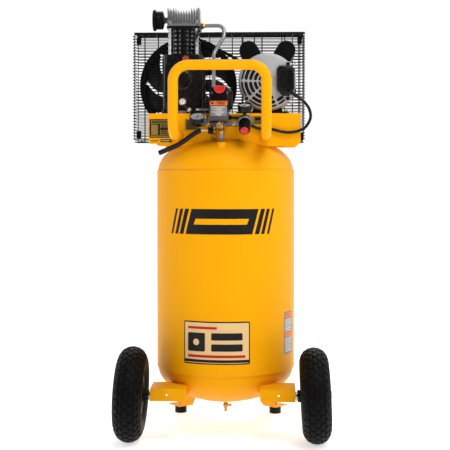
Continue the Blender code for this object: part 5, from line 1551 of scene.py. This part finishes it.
def thread(low, high, radius, pitch=0.0011):
    """The outline of a threaded stretch of pipe."""
    count = max(2, int((high - low) / pitch))
    points = []
    for i in range(count):
        a = low + (high - low) * i / count
        b = low + (high - low) * (i + 0.5) / count
        points += [(radius - 0.0005, a), (radius, b)]
    return points


def make_standpipe():
    """The threaded pipe that carries the controls, its union and the tee on top."""
    tee = join(lathe([(0, 0.885), (0.008, 0.885), (0.0086, 0.8862), (0.0086, 0.9), (0.008, 0.901),
        (0, 0.901)], 40, at=(STAND_X, STAND_Y, 0)), lathe([(0, -0.149), (0.007, -0.149), (0.0074, -0.1482),
        (0.0074, -0.14), (0, -0.14)], 36, "Y", (-0.01, 0, PIPE_Z)))
    pipe = [(0, 0.8413)] + thread(0.8413, 0.854, 0.0074) + [(0.0074, 0.8545), (0.0074, 0.869)]
    pipe += thread(0.8692, 0.876, 0.0073) + [(0.0062, 0.8765), (0.0062, 0.8846), (0, 0.8846)]
    piece("standpipe_nipple", lathe(pipe, 48, at=(STAND_X, STAND_Y, 0)), PIPE, "steel", "standpipe",
        crease=28)
    collar = [hexagon(0.0092, 0.866, 0.88, at=(STAND_X, STAND_Y, 0)), tee,
        lathe([(0, 0.8795), (0.007, 0.8795), (0.0066, 0.8842), (0, 0.8842)], 32, at=(STAND_X, STAND_Y, 0))]
    piece("standpipe_union", join(*collar), BRASS, "brass", bevel=0.0003)


def make_control_pipe():
    """The level pipe in front, with its plug and its outlet."""
    x0, x1 = (corner.x for corner in area("manifold"))
    axis = (0, STAND_Y, PIPE_Z)
    body = [(0, -0.0395), (0.0074, -0.0395), (0.0078, -0.0385), (0.0078, -0.027), (0.007, -0.0262),
        (0.007, 0.01), (0.0078, 0.0108), (0.0078, 0.0212), (0.0072, 0.0222), (0.0, 0.0222)]
    parts = [lathe(body, 40, "X", axis), hexagon(0.0078, -0.026, -0.0205, "X", axis),
        hexagon(0.0078, 0.0125, 0.0205, "X", axis)]
    parts.append(lathe([(0, 0.8849), (0.007, 0.8849), (0.0074, 0.886), (0.0074, 0.9005), (0, 0.9005)], 32,
        at=(STAND_X, STAND_Y, 0)))
    piece("control_pipe", join(*parts), ZINC, "grey_metal", "manifold", bevel=0.0003)
    plug = [(0, x0)] + [(0.005, x0), (0.0058, x0 + 0.001)] + thread(x0 + 0.0015, -0.0395,
        0.006) + [(0, -0.0395)]
    ends = [lathe(plug, 32, "X", axis), hexagon(0.0072, x0 + 0.002, x0 + 0.006, "X", axis),
        lathe([(0, 0.0222)] + thread(0.0223, 0.03, 0.0058) + [(0.0056, x1), (0, x1)], 32, "X", axis),
        hexagon(0.0075, 0.03, x1 - 0.0006, "X", axis)]
    piece("control_pipe_ends", join(*ends), STEEL, "grey_metal", bevel=0.0002, segments=1)


def make_safety_valve():
    """The blow-off valve and its pull ring."""
    low, high = area("safety_valve_body")
    at = ((low.x + high.x) / 2, 0, (low.z + high.z) / 2)
    y1 = high.y
    valve = [(0, y1), (0.0045, y1), (0.0045, y1 - 0.0034)]
    valve += [(0.004, y1 - 0.0042), (0.004, y1 - 0.009), (0.0056, y1 - 0.0096), (0.0056, y1 - 0.0102),
        (0.005, y1 - 0.0106), (0.0056, y1 - 0.0112), (0.0056, y1 - 0.015), (0.005, y1 - 0.0162),
        (0.005, y1 - 0.019), (0.0034, y1 - 0.02), (0.0028, y1 - 0.0206), (0.0028, y1 - 0.024),
        (0.0036, y1 - 0.0246), (0.0036, low.y), (0, low.y)]
    nut = hexagon(0.007, -(y1 - 0.004), -(y1 - 0.0098), TO_FRONT, at)
    piece("safety_valve", join(lathe(valve, 36, "Y", at), nut), BRASS, "brass", "safety_valve_body",
        bevel=0.0002, segments=1)
    left, right = (corner.x for corner in area("safety_ring"))
    x, y, z = middle("safety_ring")
    loop = []
    for a in steps(math.radians(97), math.radians(437), 40):
        u, v = polar((right - left) / 2 - 0.0009, a, (x, z))
        loop.append((u, y, v))
    loop += [(u + 0.0002, y - 0.0006, v) for u, _, v in loop[:5]]
    rods("pull_ring_wire", [loop], 0.00075, STEEL, "steel", "safety_ring", body="pull_ring", resolution=3)


def make_discharge():
    """The one-way valve on the tank, the pipe that comes down to it and the thin unloader line."""
    low, high = area("check_valve")
    spot = ((low.x + high.x) / 2, (low.y + high.y) / 2, 0)
    body = [(0, low.z), (0.0072, low.z)] + thread(low.z + 0.001, 0.856, 0.0074) + [(0.0072, 0.8565),
        (0.0072, 0.866), (0.0052, 0.8668), (0.0052, 0.869), (0.0058, 0.8694), (0.0058, 0.878), (0, 0.878)]
    parts = [lathe(body, 40, at=spot), hexagon(0.009, 0.8562, 0.8645, at=spot)]
    valve = carve(join(*parts), envelope(-0.0002))
    cap = hexagon(0.007, 0.87, 0.8788, at=spot)
    piece("check_valve_body", join(valve, cap), BRASS, "brass", "check_valve", bevel=0.0003)
    head_x = area("discharge_tube")[0].x
    port = (head_x, -0.045, 1.1845)
    route = [port, (-0.0022, -0.05, 1.1848), (-0.0026, -0.066, 1.149), (*spot[:2], 1.096),
        (*spot[:2], 0.8793)]
    rods("discharge_pipe", [arcs(route, 0.0205, 14)], 0.0055, ALUMINIUM, "aluminium", "discharge_tube",
        resolution=6)
    fit = [hexagon(0.0098, 0.0008, 0.0095, "X", port), lathe([(0, 0.0095), (0.0076, 0.0095),
        (0.0062, 0.013), (0, 0.013)], 32, "X", port), hexagon(0.008, 0.88, 0.889, at=spot),
        lathe([(0, 0.889), (0.0068, 0.889), (0.006, 0.8915), (0, 0.8915)], 32, at=spot)]
    piece("discharge_pipe_nuts", join(*fit), BRASS, "brass", bevel=0.0003)
    rods("unloader_line", [arcs([(-0.033, -0.121, 0.864), (-0.033, -0.143, 0.864),
        (-0.0361, -0.148, 0.869)], 0.004, 6)], 0.0016, STEEL, "steel", resolution=3)


# bar widths of the printed panel, as shares of its width, from the top row down
PRINT_ROWS = ((0.86, 0.42), (0.62, 0.3), (0.86, 0.55), (0.4, 0.22))


def make_switch_cover():
    """The cover, its red lever, its screws and the plain marks on its front."""
    (x0, y0, z0), (x1, y1, z1) = area("switch_cover")
    mid_x = (x0 + x1) / 2
    half = (x1 - x0) / 2
    rings = []
    for inset, z, front in ((0.0016, z0, 0.0012), (0.0, z0 + 0.0016, 0.0), (0.0, z0 + 0.03, 0.0),
            (0.0003, z0 + 0.0445, 0.0), (0.0008, z1 - 0.006, 0.0004), (0.0024, z1 - 0.0018, 0.0024),
            (0.0052, z1, 0.0052)):
        outline = rounded(half - inset, (y1 - y0 - front) / 2 - inset * 0.3, 0.0065, 6,
            (mid_x, (y0 + front + y1) / 2))
        rings.append([(u, v, z) for u, v in outline])
    shell = loft(rings)
    knob_x, knob_z, strip_z = -0.0105, 0.9935, 0.9504
    well = lathe([(0, y0 - 0.002), (0.0186, y0 - 0.002), (0.0178, y0 + 0.0013), (0, y0 + 0.0013)], 56, "Y",
        (knob_x, 0, knob_z))
    slit = block((x0 - 0.001, y0 - 0.001, z0 + 0.0302), (x1 + 0.001, y0 + 0.0008, z0 + 0.0312))
    shell = carve(shell, well, slit)
    ribs = []
    for side_x in (x0 + 0.0001, x1 - 0.0001):
        for k in range(6):
            y = y0 + 0.012 + k * 0.0048
            ribs.append(block((side_x - 0.0006, y, z0 + 0.006), (side_x + 0.0006, y + 0.0018, z0 + 0.026)))
    for k in range(2):
        ribs.append(lathe([(0, z1 - 0.0015), (0.0032, z1 - 0.0015), (0.0028, z1 - 0.0002),
            (0, z1 - 0.0002)], 24, at=(x0 + 0.01 + k * (x1 - x0 - 0.02), y1 - 0.012, 0)))
    piece("switch_shell", join(shell, *ribs), SATIN, "black_plastic", "switch_cover", bevel=0.0007)
    rear = [[(u, v, z) for u, v in rounded(0.0225 - inset, 0.0135 - inset, 0.004, 4, (0.001, -0.1036))]
        for inset, z in ((0.001, 0.9345), (0.0, 0.9355), (0.0, 0.989), (0.002, 0.993), (0.005, 0.9945))]
    piece("switch_rear_housing", loft(rear), SATIN, "black_plastic", bevel=0.0006)
    heads = [screw_head((x, y0 + 0.0002, z0 + 0.0052), TO_FRONT, 0.0024)
        for x in (x0 + 0.0075, x1 - 0.0075)]
    piece("switch_screws", join(*heads), STEEL, "steel")

    knob = area("switch_knob")
    depth = knob[0].y
    dee = [polar(0.016, a) for a in steps(math.radians(160), math.radians(380), 40)]
    small = [polar(0.0136, a, (0, 0.0004)) for a in steps(math.radians(162), math.radians(378), 40)]
    rings = [[(u, y, v) for u, v in line] for line, y in ((dee, knob[1].y), (dee, depth + 0.003),
        (small, depth + 0.0003))]
    grip = loft(rings)
    bar = prism(rounded(0.003, 0.0078, 0.0026, 5, (0.0, -0.005)), depth, depth + 0.004, "Y")
    piece("switch_lever", moved(join(grip, bar), (knob_x, 0, knob_z)), RED, "red_plastic", "switch_knob",
        body="on_off_knob", bevel=0.0006)
    marks = []
    for side in (-1, 1):
        marks.append(prism(rounded(0.003, 0.0006, 0.0004, 2, (knob_x + side * 0.0215, z1 - 0.0165)),
            y0 - 0.0001, y0 + 0.0006, "Y"))
        marks.append(prism(circle(0.0014, 20, (knob_x + side * 0.0215, z1 - 0.02)), y0 - 0.0001,
            y0 + 0.0006, "Y"))
    piece("switch_marks", join(*marks), GREY_INK, None)
    sticker_y = y0 - 0.0003
    band = prism(rounded(half - 0.003, 0.0062, 0.0006, 2, (mid_x, strip_z)), sticker_y, y0 + 0.0006, "Y")
    piece("switch_orange_strip", band, ORANGE_INK, None)
    dot = [prism(circle(0.003, 28, (x0 + 0.0095, strip_z)), sticker_y - 0.0001, y0, "Y")]
    for k in range(2):
        dot.append(prism(rounded(0.0125 - 0.003 * k, 0.0011, 0.0003, 2,
            (mid_x + 0.006, strip_z + 0.0028 - 0.005 * k)), sticker_y - 0.0001, y0, "Y"))
    piece("switch_strip_print", join(*dot), INK, None)


def make_switch_base():
    """The casting under the cover, its printed panel, the cord's gland and the pilot tube."""
    (x0, y0, z0), (_, _, z1) = area("switch_base")
    x1, y1 = 0.014, -0.1175    # the casting itself, without its lug and its gland
    half = (x1 - x0) / 2
    mid_x = (x0 + x1) / 2
    outline = framed(x0, x1, y0, y1, 0.004, 4)
    body = prism(outline, z0 + 0.003, z1)
    foot = prism(framed(x0, x1, y0, y1, 0.004, 4, 0.003), z0, z0 + 0.004)
    lug = block((x1 - 0.024, y1 - 0.002, 0.9045), (x1, -0.102, 0.9195))
    lip = prism(outline, z1 - 0.003, z1)
    ribs = [block((x0 + 0.008 + k * 0.012, y0, z0 + 0.003), (x0 + 0.0095 + k * 0.012, y0 + 0.002,
        z0 + 0.0095)) for k in range(4)]
    piece("switch_casting", join(body, foot, lug, lip, *ribs), ZINC, "grey_metal", "switch_base",
        bevel=0.0008)
    panel = prism(rounded(half - 0.0035, 0.0145, 0.0008, 2, (mid_x, 0.9285)), -0.1695, -0.1681, "Y")
    piece("switch_panel", panel, GREY_INK, None)
    rows = []
    for k, (wide, thin) in enumerate(PRINT_ROWS):
        z = 0.939 - 0.0068 * k
        rows.append(prism(rounded((half - 0.0055) * wide, 0.0012, 0.0003, 2, (mid_x - 0.001, z)), -0.16965,
            -0.169, "Y"))
        rows.append(prism(rounded((half - 0.0055) * thin, 0.0008, 0.0003, 2, (mid_x + 0.0015, z - 0.0032)),
            -0.16965, -0.169, "Y"))
    piece("switch_panel_print", join(*rows), PALE_INK, None)

    at = (0, *MOTOR_CORD_ROUTE[0][1:])
    gland = [(0, x1 - 0.002), (0.0066, x1 - 0.002), (0.0066, x1 + 0.0005), (0, x1 + 0.0005)]
    sleeve = [(0, x1 - 0.001), (0.0058, x1 - 0.001)] + thread(x1 + 0.003, x1 + 0.008, 0.0056,
        0.0016) + [(0.005, x1 + 0.008), (0.0, x1 + 0.008)]
    parts = [lathe(gland, 32, "X", at), hexagon(0.0058, x1 + 0.0004, x1 + 0.0036, "X", at),
        lathe(sleeve, 32, "X", at)]
    piece("cord_gland", join(*parts), PLASTIC, "black_plastic", bevel=0.0002, segments=1)
    side = (0, -0.15, 0.9335)
    spur = [lathe([(0, x0 - 0.03), (0.0031, x0 - 0.03), (0.0034, x0 - 0.029), (0.0034, x0 - 0.0035),
        (0, x0 - 0.0035)], 24, "X", side), hexagon(0.005, x0 - 0.004, x0 + 0.0006, "X", side)]
    piece("pilot_tube", join(*spur), ZINC, "grey_metal", bevel=0.0002, segments=1)
    tip = [(0, x0 - 0.0385), (0.0018, x0 - 0.0385), (0.0024, x0 - 0.0375), (0.0024, x0 - 0.0299),
        (0, x0 - 0.0299)]
    piece("pilot_tube_tip", lathe(tip, 24, "X", side), CHROME, "steel")


def make_gauge_pipe():
    """The elbow from the control pipe to the tank gauge, with a small brass port on it."""
    elbow = arcs([(-0.047, STAND_Y, PIPE_Z), (-0.0665, STAND_Y, PIPE_Z), (-0.0738, -0.1195, 0.8925)], 0.006,
        8)
    rods("gauge_elbow", [elbow], 0.0052, ZINC, "grey_metal", resolution=5)
    port_block = block((-0.0575, STAND_Y - 0.0075, 0.8935), (-0.045, STAND_Y + 0.006, 0.9085))
    piece("gauge_port_block", port_block, ZINC, "grey_metal", bevel=0.001)
    port = [hexagon(0.0066, 0.9083, 0.916, at=(-0.0512, STAND_Y, 0)), lathe([(0, 0.9155), (0.0042, 0.9155),
        (0.0042, 0.92), (0.003, 0.9212), (0, 0.9212)], 28, at=(-0.0512, STAND_Y, 0))]
    piece("gauge_port_brass", join(*port), BRASS, "brass", bevel=0.0003)


REGULATOR_TILT = math.radians(33)


def make_regulator():
    """The regulator, which points forward and down, with its ribbed grip and red cap."""
    axis = (0, -math.cos(REGULATOR_TILT), -math.sin(REGULATOR_TILT))
    centre = Vector((0.06, -0.132, 0.9015))
    body = [(0, -0.016), (0.0112, -0.016), (0.013, -0.015), (0.015, -0.0125), (0.0165, -0.01),
        (0.0165, -0.0045), (0.02, -0.0035), (0.021, -0.0025), (0.021, 0.0015), (0.0204, 0.0022),
        (0.0204, 0.0034), (0.021, 0.0042), (0.021, 0.0092), (0.02, 0.0108), (0.0186, 0.012), (0, 0.012)]
    parts = [lathe(body, 64, axis, centre)]
    turn = facing(axis)
    for k in range(4):
        a = math.radians(45 + 90 * k)
        boss = drum(0.003, -0.003, 0.0098, 24, "Z", (*polar(0.0183, a), 0))
        parts.append(moved(boss, centre, turn))
    piece("regulator_casting", join(*parts), ALUMINIUM, "aluminium", "regulator_body", bevel=0.0005)
    flare = [(0, 0.0124), (0.0172, 0.0124), (0.0175, 0.016), (0.017, 0.023), (0.016, 0.048),
        (0.0152, 0.0515), (0.0142, 0.053), (0.0122, 0.0533), (0, 0.0533)]
    grip = lathe(flare, 72, "Z")
    cuts = []
    for a in turns(24):
        cuts.append(lathe([(0, 0.0185), (0.0012, 0.02), (0.0012, 0.056), (0, 0.056)], 8, "Z",
            (*polar(0.0172, a), 0)))
    grip = carve(grip, join(*cuts))
    grip.transform(facing(axis))
    piece("regulator_grip", moved(grip, centre), PLASTIC, "black_plastic", "regulator_knob",
        body="regulator_dial", bevel=0.0004, segments=1)
    cap = [(0, 0.053), (0.0116, 0.053), (0.0116, 0.0562), (0.0108, 0.0574), (0.0088, 0.0574),
        (0.0082, 0.056), (0.006, 0.056), (0.0054, 0.0584), (0.004, 0.059), (0, 0.059)]
    piece("regulator_cap", lathe(cap, 56, axis, centre), RED, "red_plastic", body="regulator_dial",
        bevel=0.0002, segments=1)
    link = [drum(0.0066, 0.0388, 0.047, 36, "X", (0, STAND_Y, PIPE_Z)),
        hexagon(0.008, 0.039, 0.044, "X", (0, STAND_Y, PIPE_Z))]
    piece("regulator_inlet", join(*link), STEEL, "aluminium", bevel=0.0003)


def numerals(text, size):
    """The text as a thin mesh centred on its own origin, for the numbers on a dial."""
    curve = bpy.data.curves.new("numerals", "FONT")
    curve.body = text
    curve.size = size
    curve.align_x = "CENTER"
    curve.align_y = "CENTER"
    curve.resolution_u = 2
    obj = bpy.data.objects.new("numerals", curve)
    bpy.context.scene.collection.objects.link(obj)
    bpy.context.view_layer.update()
    done = obj.evaluated_get(bpy.context.evaluated_depsgraph_get())
    bm = bmesh.new()
    bm.from_mesh(done.to_mesh())
    done.to_mesh_clear()
    bpy.data.objects.remove(obj)
    bpy.data.curves.remove(curve)
    return bm


def make_gauge(name, centre, radius, depth, tilt, stem, top_number):
    """A cup with a snap-on rim, a printed card with ticks and numbers, a lens, and the turning needle."""
    tip = math.radians(tilt)
    axis = (0, -math.cos(tip), math.sin(tip))
    centre = Vector(centre)
    turn = facing(axis)
    rim, floor = radius - 0.0022, -0.0045
    case = [(0, floor - 0.0006), (rim + 0.0003, floor - 0.0006), (rim, -0.0012), (rim + 0.0002, -0.0002),
        (rim + 0.0009, 0.0), (radius - 0.0004, -0.0006), (radius, -0.0016), (radius, -0.0056),
        (radius - 0.0007, -0.0062), (radius - 0.0007, -0.0072), (radius - 0.0002, -0.008),
        (radius - 0.0004, -depth + 0.006), (radius - 0.0016, -depth + 0.0022), (radius - 0.0046, -depth),
        (0.0068, -depth), (0.005, -depth - 0.0006), (0.005, -depth - stem), (0, -depth - stem)]
    nut = hexagon(0.0066, -depth - min(stem, 0.0062) + 0.0003, -depth + 0.0008)
    piece(name + "_cup", join(lathe(case, 72, axis, centre), moved(nut, centre, turn)), SATIN,
        "black_plastic", name + "_case", bevel=0.0002, segments=1)
    card = drum(rim, floor - 0.0005, floor, 64, axis, centre)
    piece(name + "_card", card, DIAL, None)
    print_high = floor + 0.00012
    marks = []
    start, sweep, major = 225, -270, 5
    for k in range(major * 5 + 1):
        a = math.radians(start + sweep * k / (major * 5))
        long = k % 5 == 0
        inner, wide = rim * (0.74 if long else 0.8), 0.00034 if long else 0.00018
        tick = prism([(inner, -wide), (rim * 0.88, -wide), (rim * 0.88, wide), (inner, wide)],
            floor - 0.0001, print_high)
        marks.append(moved(tick, turn=Matrix.Rotation(a, 4, "Z")))
        if long:
            value = str(top_number * k // (major * 5))
            marks.append(moved(numerals(value, rim * 0.21), (*polar(rim * 0.58, a), print_high)))
    ring = lathe([(rim * 0.885, floor), (rim * 0.905, floor), (rim * 0.905, print_high),
        (rim * 0.885, print_high)], 72, closed=True)
    marks.append(ring)
    print_all = moved(join(*marks), centre, turn)
    piece(name + "_scale", print_all, INK, None)
    reach = rim * 0.78
    hand = prism([(-0.0042, -0.0009), (-0.0042, 0.0009), (0.0, 0.0007), (reach * 0.92, 0.00035),
        (reach, 0.0), (reach * 0.92, -0.00035), (0.0, -0.0007)], floor + 0.0012, floor + 0.0018)
    hub = lathe([(0, floor + 0.0005), (0.0016, floor + 0.0005), (0.0022, floor + 0.0009),
        (0.0022, floor + 0.0022), (0.0015, floor + 0.0026), (0, floor + 0.0026)], 28)
    hand = moved(hand, turn=Matrix.Rotation(math.radians(225), 4, "Z"))
    piece(name + "_hand", moved(join(hand, hub), centre, turn), INK, "black_plastic", name + "_needle",
        body=name.replace("gauge", "needle"))
    lens = [(0, -0.0009), (rim, -0.0009), (rim, -0.0013), (0, -0.0013)]
    piece(name + "_lens", lathe(lens, 64, axis, centre), CLEAR, None)


DRAIN_Z = 0.062         # height of the drain handle's axis


def make_drain():
    """The drain valve under the tank, and its wing handle."""
    low, high = area("drain_valve_body")
    z0, z1 = low.z, high.z
    body = [(0, z0), (0.0026, z0), (0.0038, z0 + 0.0006), (0.0044, z0 + 0.0022), (0.0036, z0 + 0.003),
        (0.0044, z0 + 0.004), (0.0044, z0 + 0.01), (0.0052, z0 + 0.011), (0.0052, z0 + 0.0255)]
    body += thread(z0 + 0.0262, z1 - 0.0004, 0.0054) + [(0.0048, z1), (0, z1)]
    valve = lathe(body, 44)
    nut = hexagon(0.0079, z0 + 0.026, z0 + 0.0325)
    cross = lathe([(0, -0.0075), (0.0046, -0.0075), (0.0052, -0.0068), (0.0052, 0.0068), (0.0044, 0.0078),
        (0, 0.0078)], 36, "X", (0, 0, DRAIN_Z))
    piece("drain_valve", join(valve, nut, cross), BRASS, "brass", "drain_valve_body", bevel=0.0002,
        segments=1)
    (x0, _, z0), (x1, _, z1) = area("drain_lever")
    hub = lathe([(0, x0), (0.0034, x0), (0.0034, x0 + 0.0022), (0.002, x0 + 0.0026), (0, x0 + 0.0026)], 32,
        "X", (0, 0, DRAIN_Z))
    blade = block((x0 + 0.0024, -0.0009, z0 + 0.0002), (x1 - 0.0003, 0.0009, z1 - 0.0002))
    piece("drain_wing", join(hub, blade), BRASS, "brass", "drain_lever", body="drain_handle", bevel=0.0006)


make_standpipe()
make_control_pipe()
make_safety_valve()
make_discharge()
make_switch_cover()
make_switch_base()
make_gauge_pipe()
make_regulator()
make_gauge("tank_gauge", (-0.0745, -0.134, 0.917), 0.0245, 0.027, 58, 0.004, 200)
make_gauge("outlet_gauge", (0.06, -0.145, 0.948), 0.0205, 0.022, 67, 0.007, 200)
make_drain()


# Studio -------------------------------------------------------------------------------------------

ROOM_FRONT, ROOM_BACK = 0.08, 1.02      # how bright the room is before and behind the object
KEY_POWER, STRIP_POWER, PUMP_POWER, EDGE_POWER = 13, 3.5, 4.5, 4


def light(name, at, aim, size, power, tall=None):
    """An area light that points at a place; tall makes it a rectangle."""
    data = bpy.data.lights.new(name, "AREA")
    data.energy = power
    data.size = size
    if tall:
        data.shape = "RECTANGLE"
        data.size_y = tall
    lamp = bpy.data.objects.new(name, data)
    bpy.context.scene.collection.objects.link(lamp)
    lamp.location = at
    lamp.rotation_euler = (Vector(aim) - Vector(at)).to_track_quat("-Z", "Y").to_euler()


def make_world():
    """A white room, darker on the side the object faces."""
    world = bpy.data.worlds.new("studio")
    world.use_nodes = True
    nodes, links = world.node_tree.nodes, world.node_tree.links
    way = nodes.new("ShaderNodeTexCoord")
    split = nodes.new("ShaderNodeSeparateXYZ")
    fade = nodes.new("ShaderNodeMapRange")
    fill(fade, {"From Min": -0.45, "From Max": 0.55, "To Min": ROOM_FRONT, "To Max": ROOM_BACK})
    links.new(way.outputs["Generated"], split.inputs["Vector"])
    links.new(split.outputs["Y"], fade.inputs["Value"])
    links.new(fade.outputs["Result"], nodes["Background"].inputs["Strength"])
    nodes["Background"].inputs["Color"].default_value = (1, 1, 1, 1)
    bpy.context.scene.world = world


def make_studio():
    """A pale floor that glows a little, and the lights."""
    floor = bpy.data.meshes.new("floor")
    bm = bmesh.new()
    bmesh.ops.create_grid(bm, x_segments=8, y_segments=8, size=12)
    bm.to_mesh(floor)
    bm.free()
    plane = bpy.data.objects.new("floor", floor)
    floor.materials.append(FLOOR)
    bpy.context.scene.collection.objects.link(plane)
    shader = FLOOR.node_tree.nodes["Principled BSDF"]
    fill(shader, {"Emission Color": (1, 1, 1, 1), "Emission Strength": 0.58})
    light("key", (1.2, -3.2, 2.4), (0, 0, 0.75), 1.4, KEY_POWER, tall=1.8)
    light("left_strip", (-2.3, -1.9, 1.2), (0, 0, 0.9), 0.3, STRIP_POWER, tall=2.2)
    light("right_strip", (2.5, -1.6, 1.3), (0, 0, 0.9), 0.3, STRIP_POWER, tall=2.2)
    light("left_pump", (-1.5, -1.5, 1.35), (-0.1, 0, 1.12), 0.1, PUMP_POWER, tall=0.7)
    light("right_pump", (1.3, -1.7, 1.35), (-0.1, 0, 1.12), 0.1, PUMP_POWER, tall=0.7)
    light("rim", (0.4, 2.6, 2.6), (0, 0, 0.9), 2.0, 30)
    light("left_edge", (-2.0, 0.15, 1.35), (-0.12, 0, 1.12), 0.18, EDGE_POWER, tall=0.36)
    light("right_edge", (1.8, -0.13, 1.35), (-0.12, 0, 1.12), 0.18, EDGE_POWER, tall=0.36)
    light("top", (0.8, -1.5, 3.1), (0, 0, 0.85), 1.2, 48)


make_world()
bpy.context.scene.view_settings.view_transform = "Standard"
make_studio()
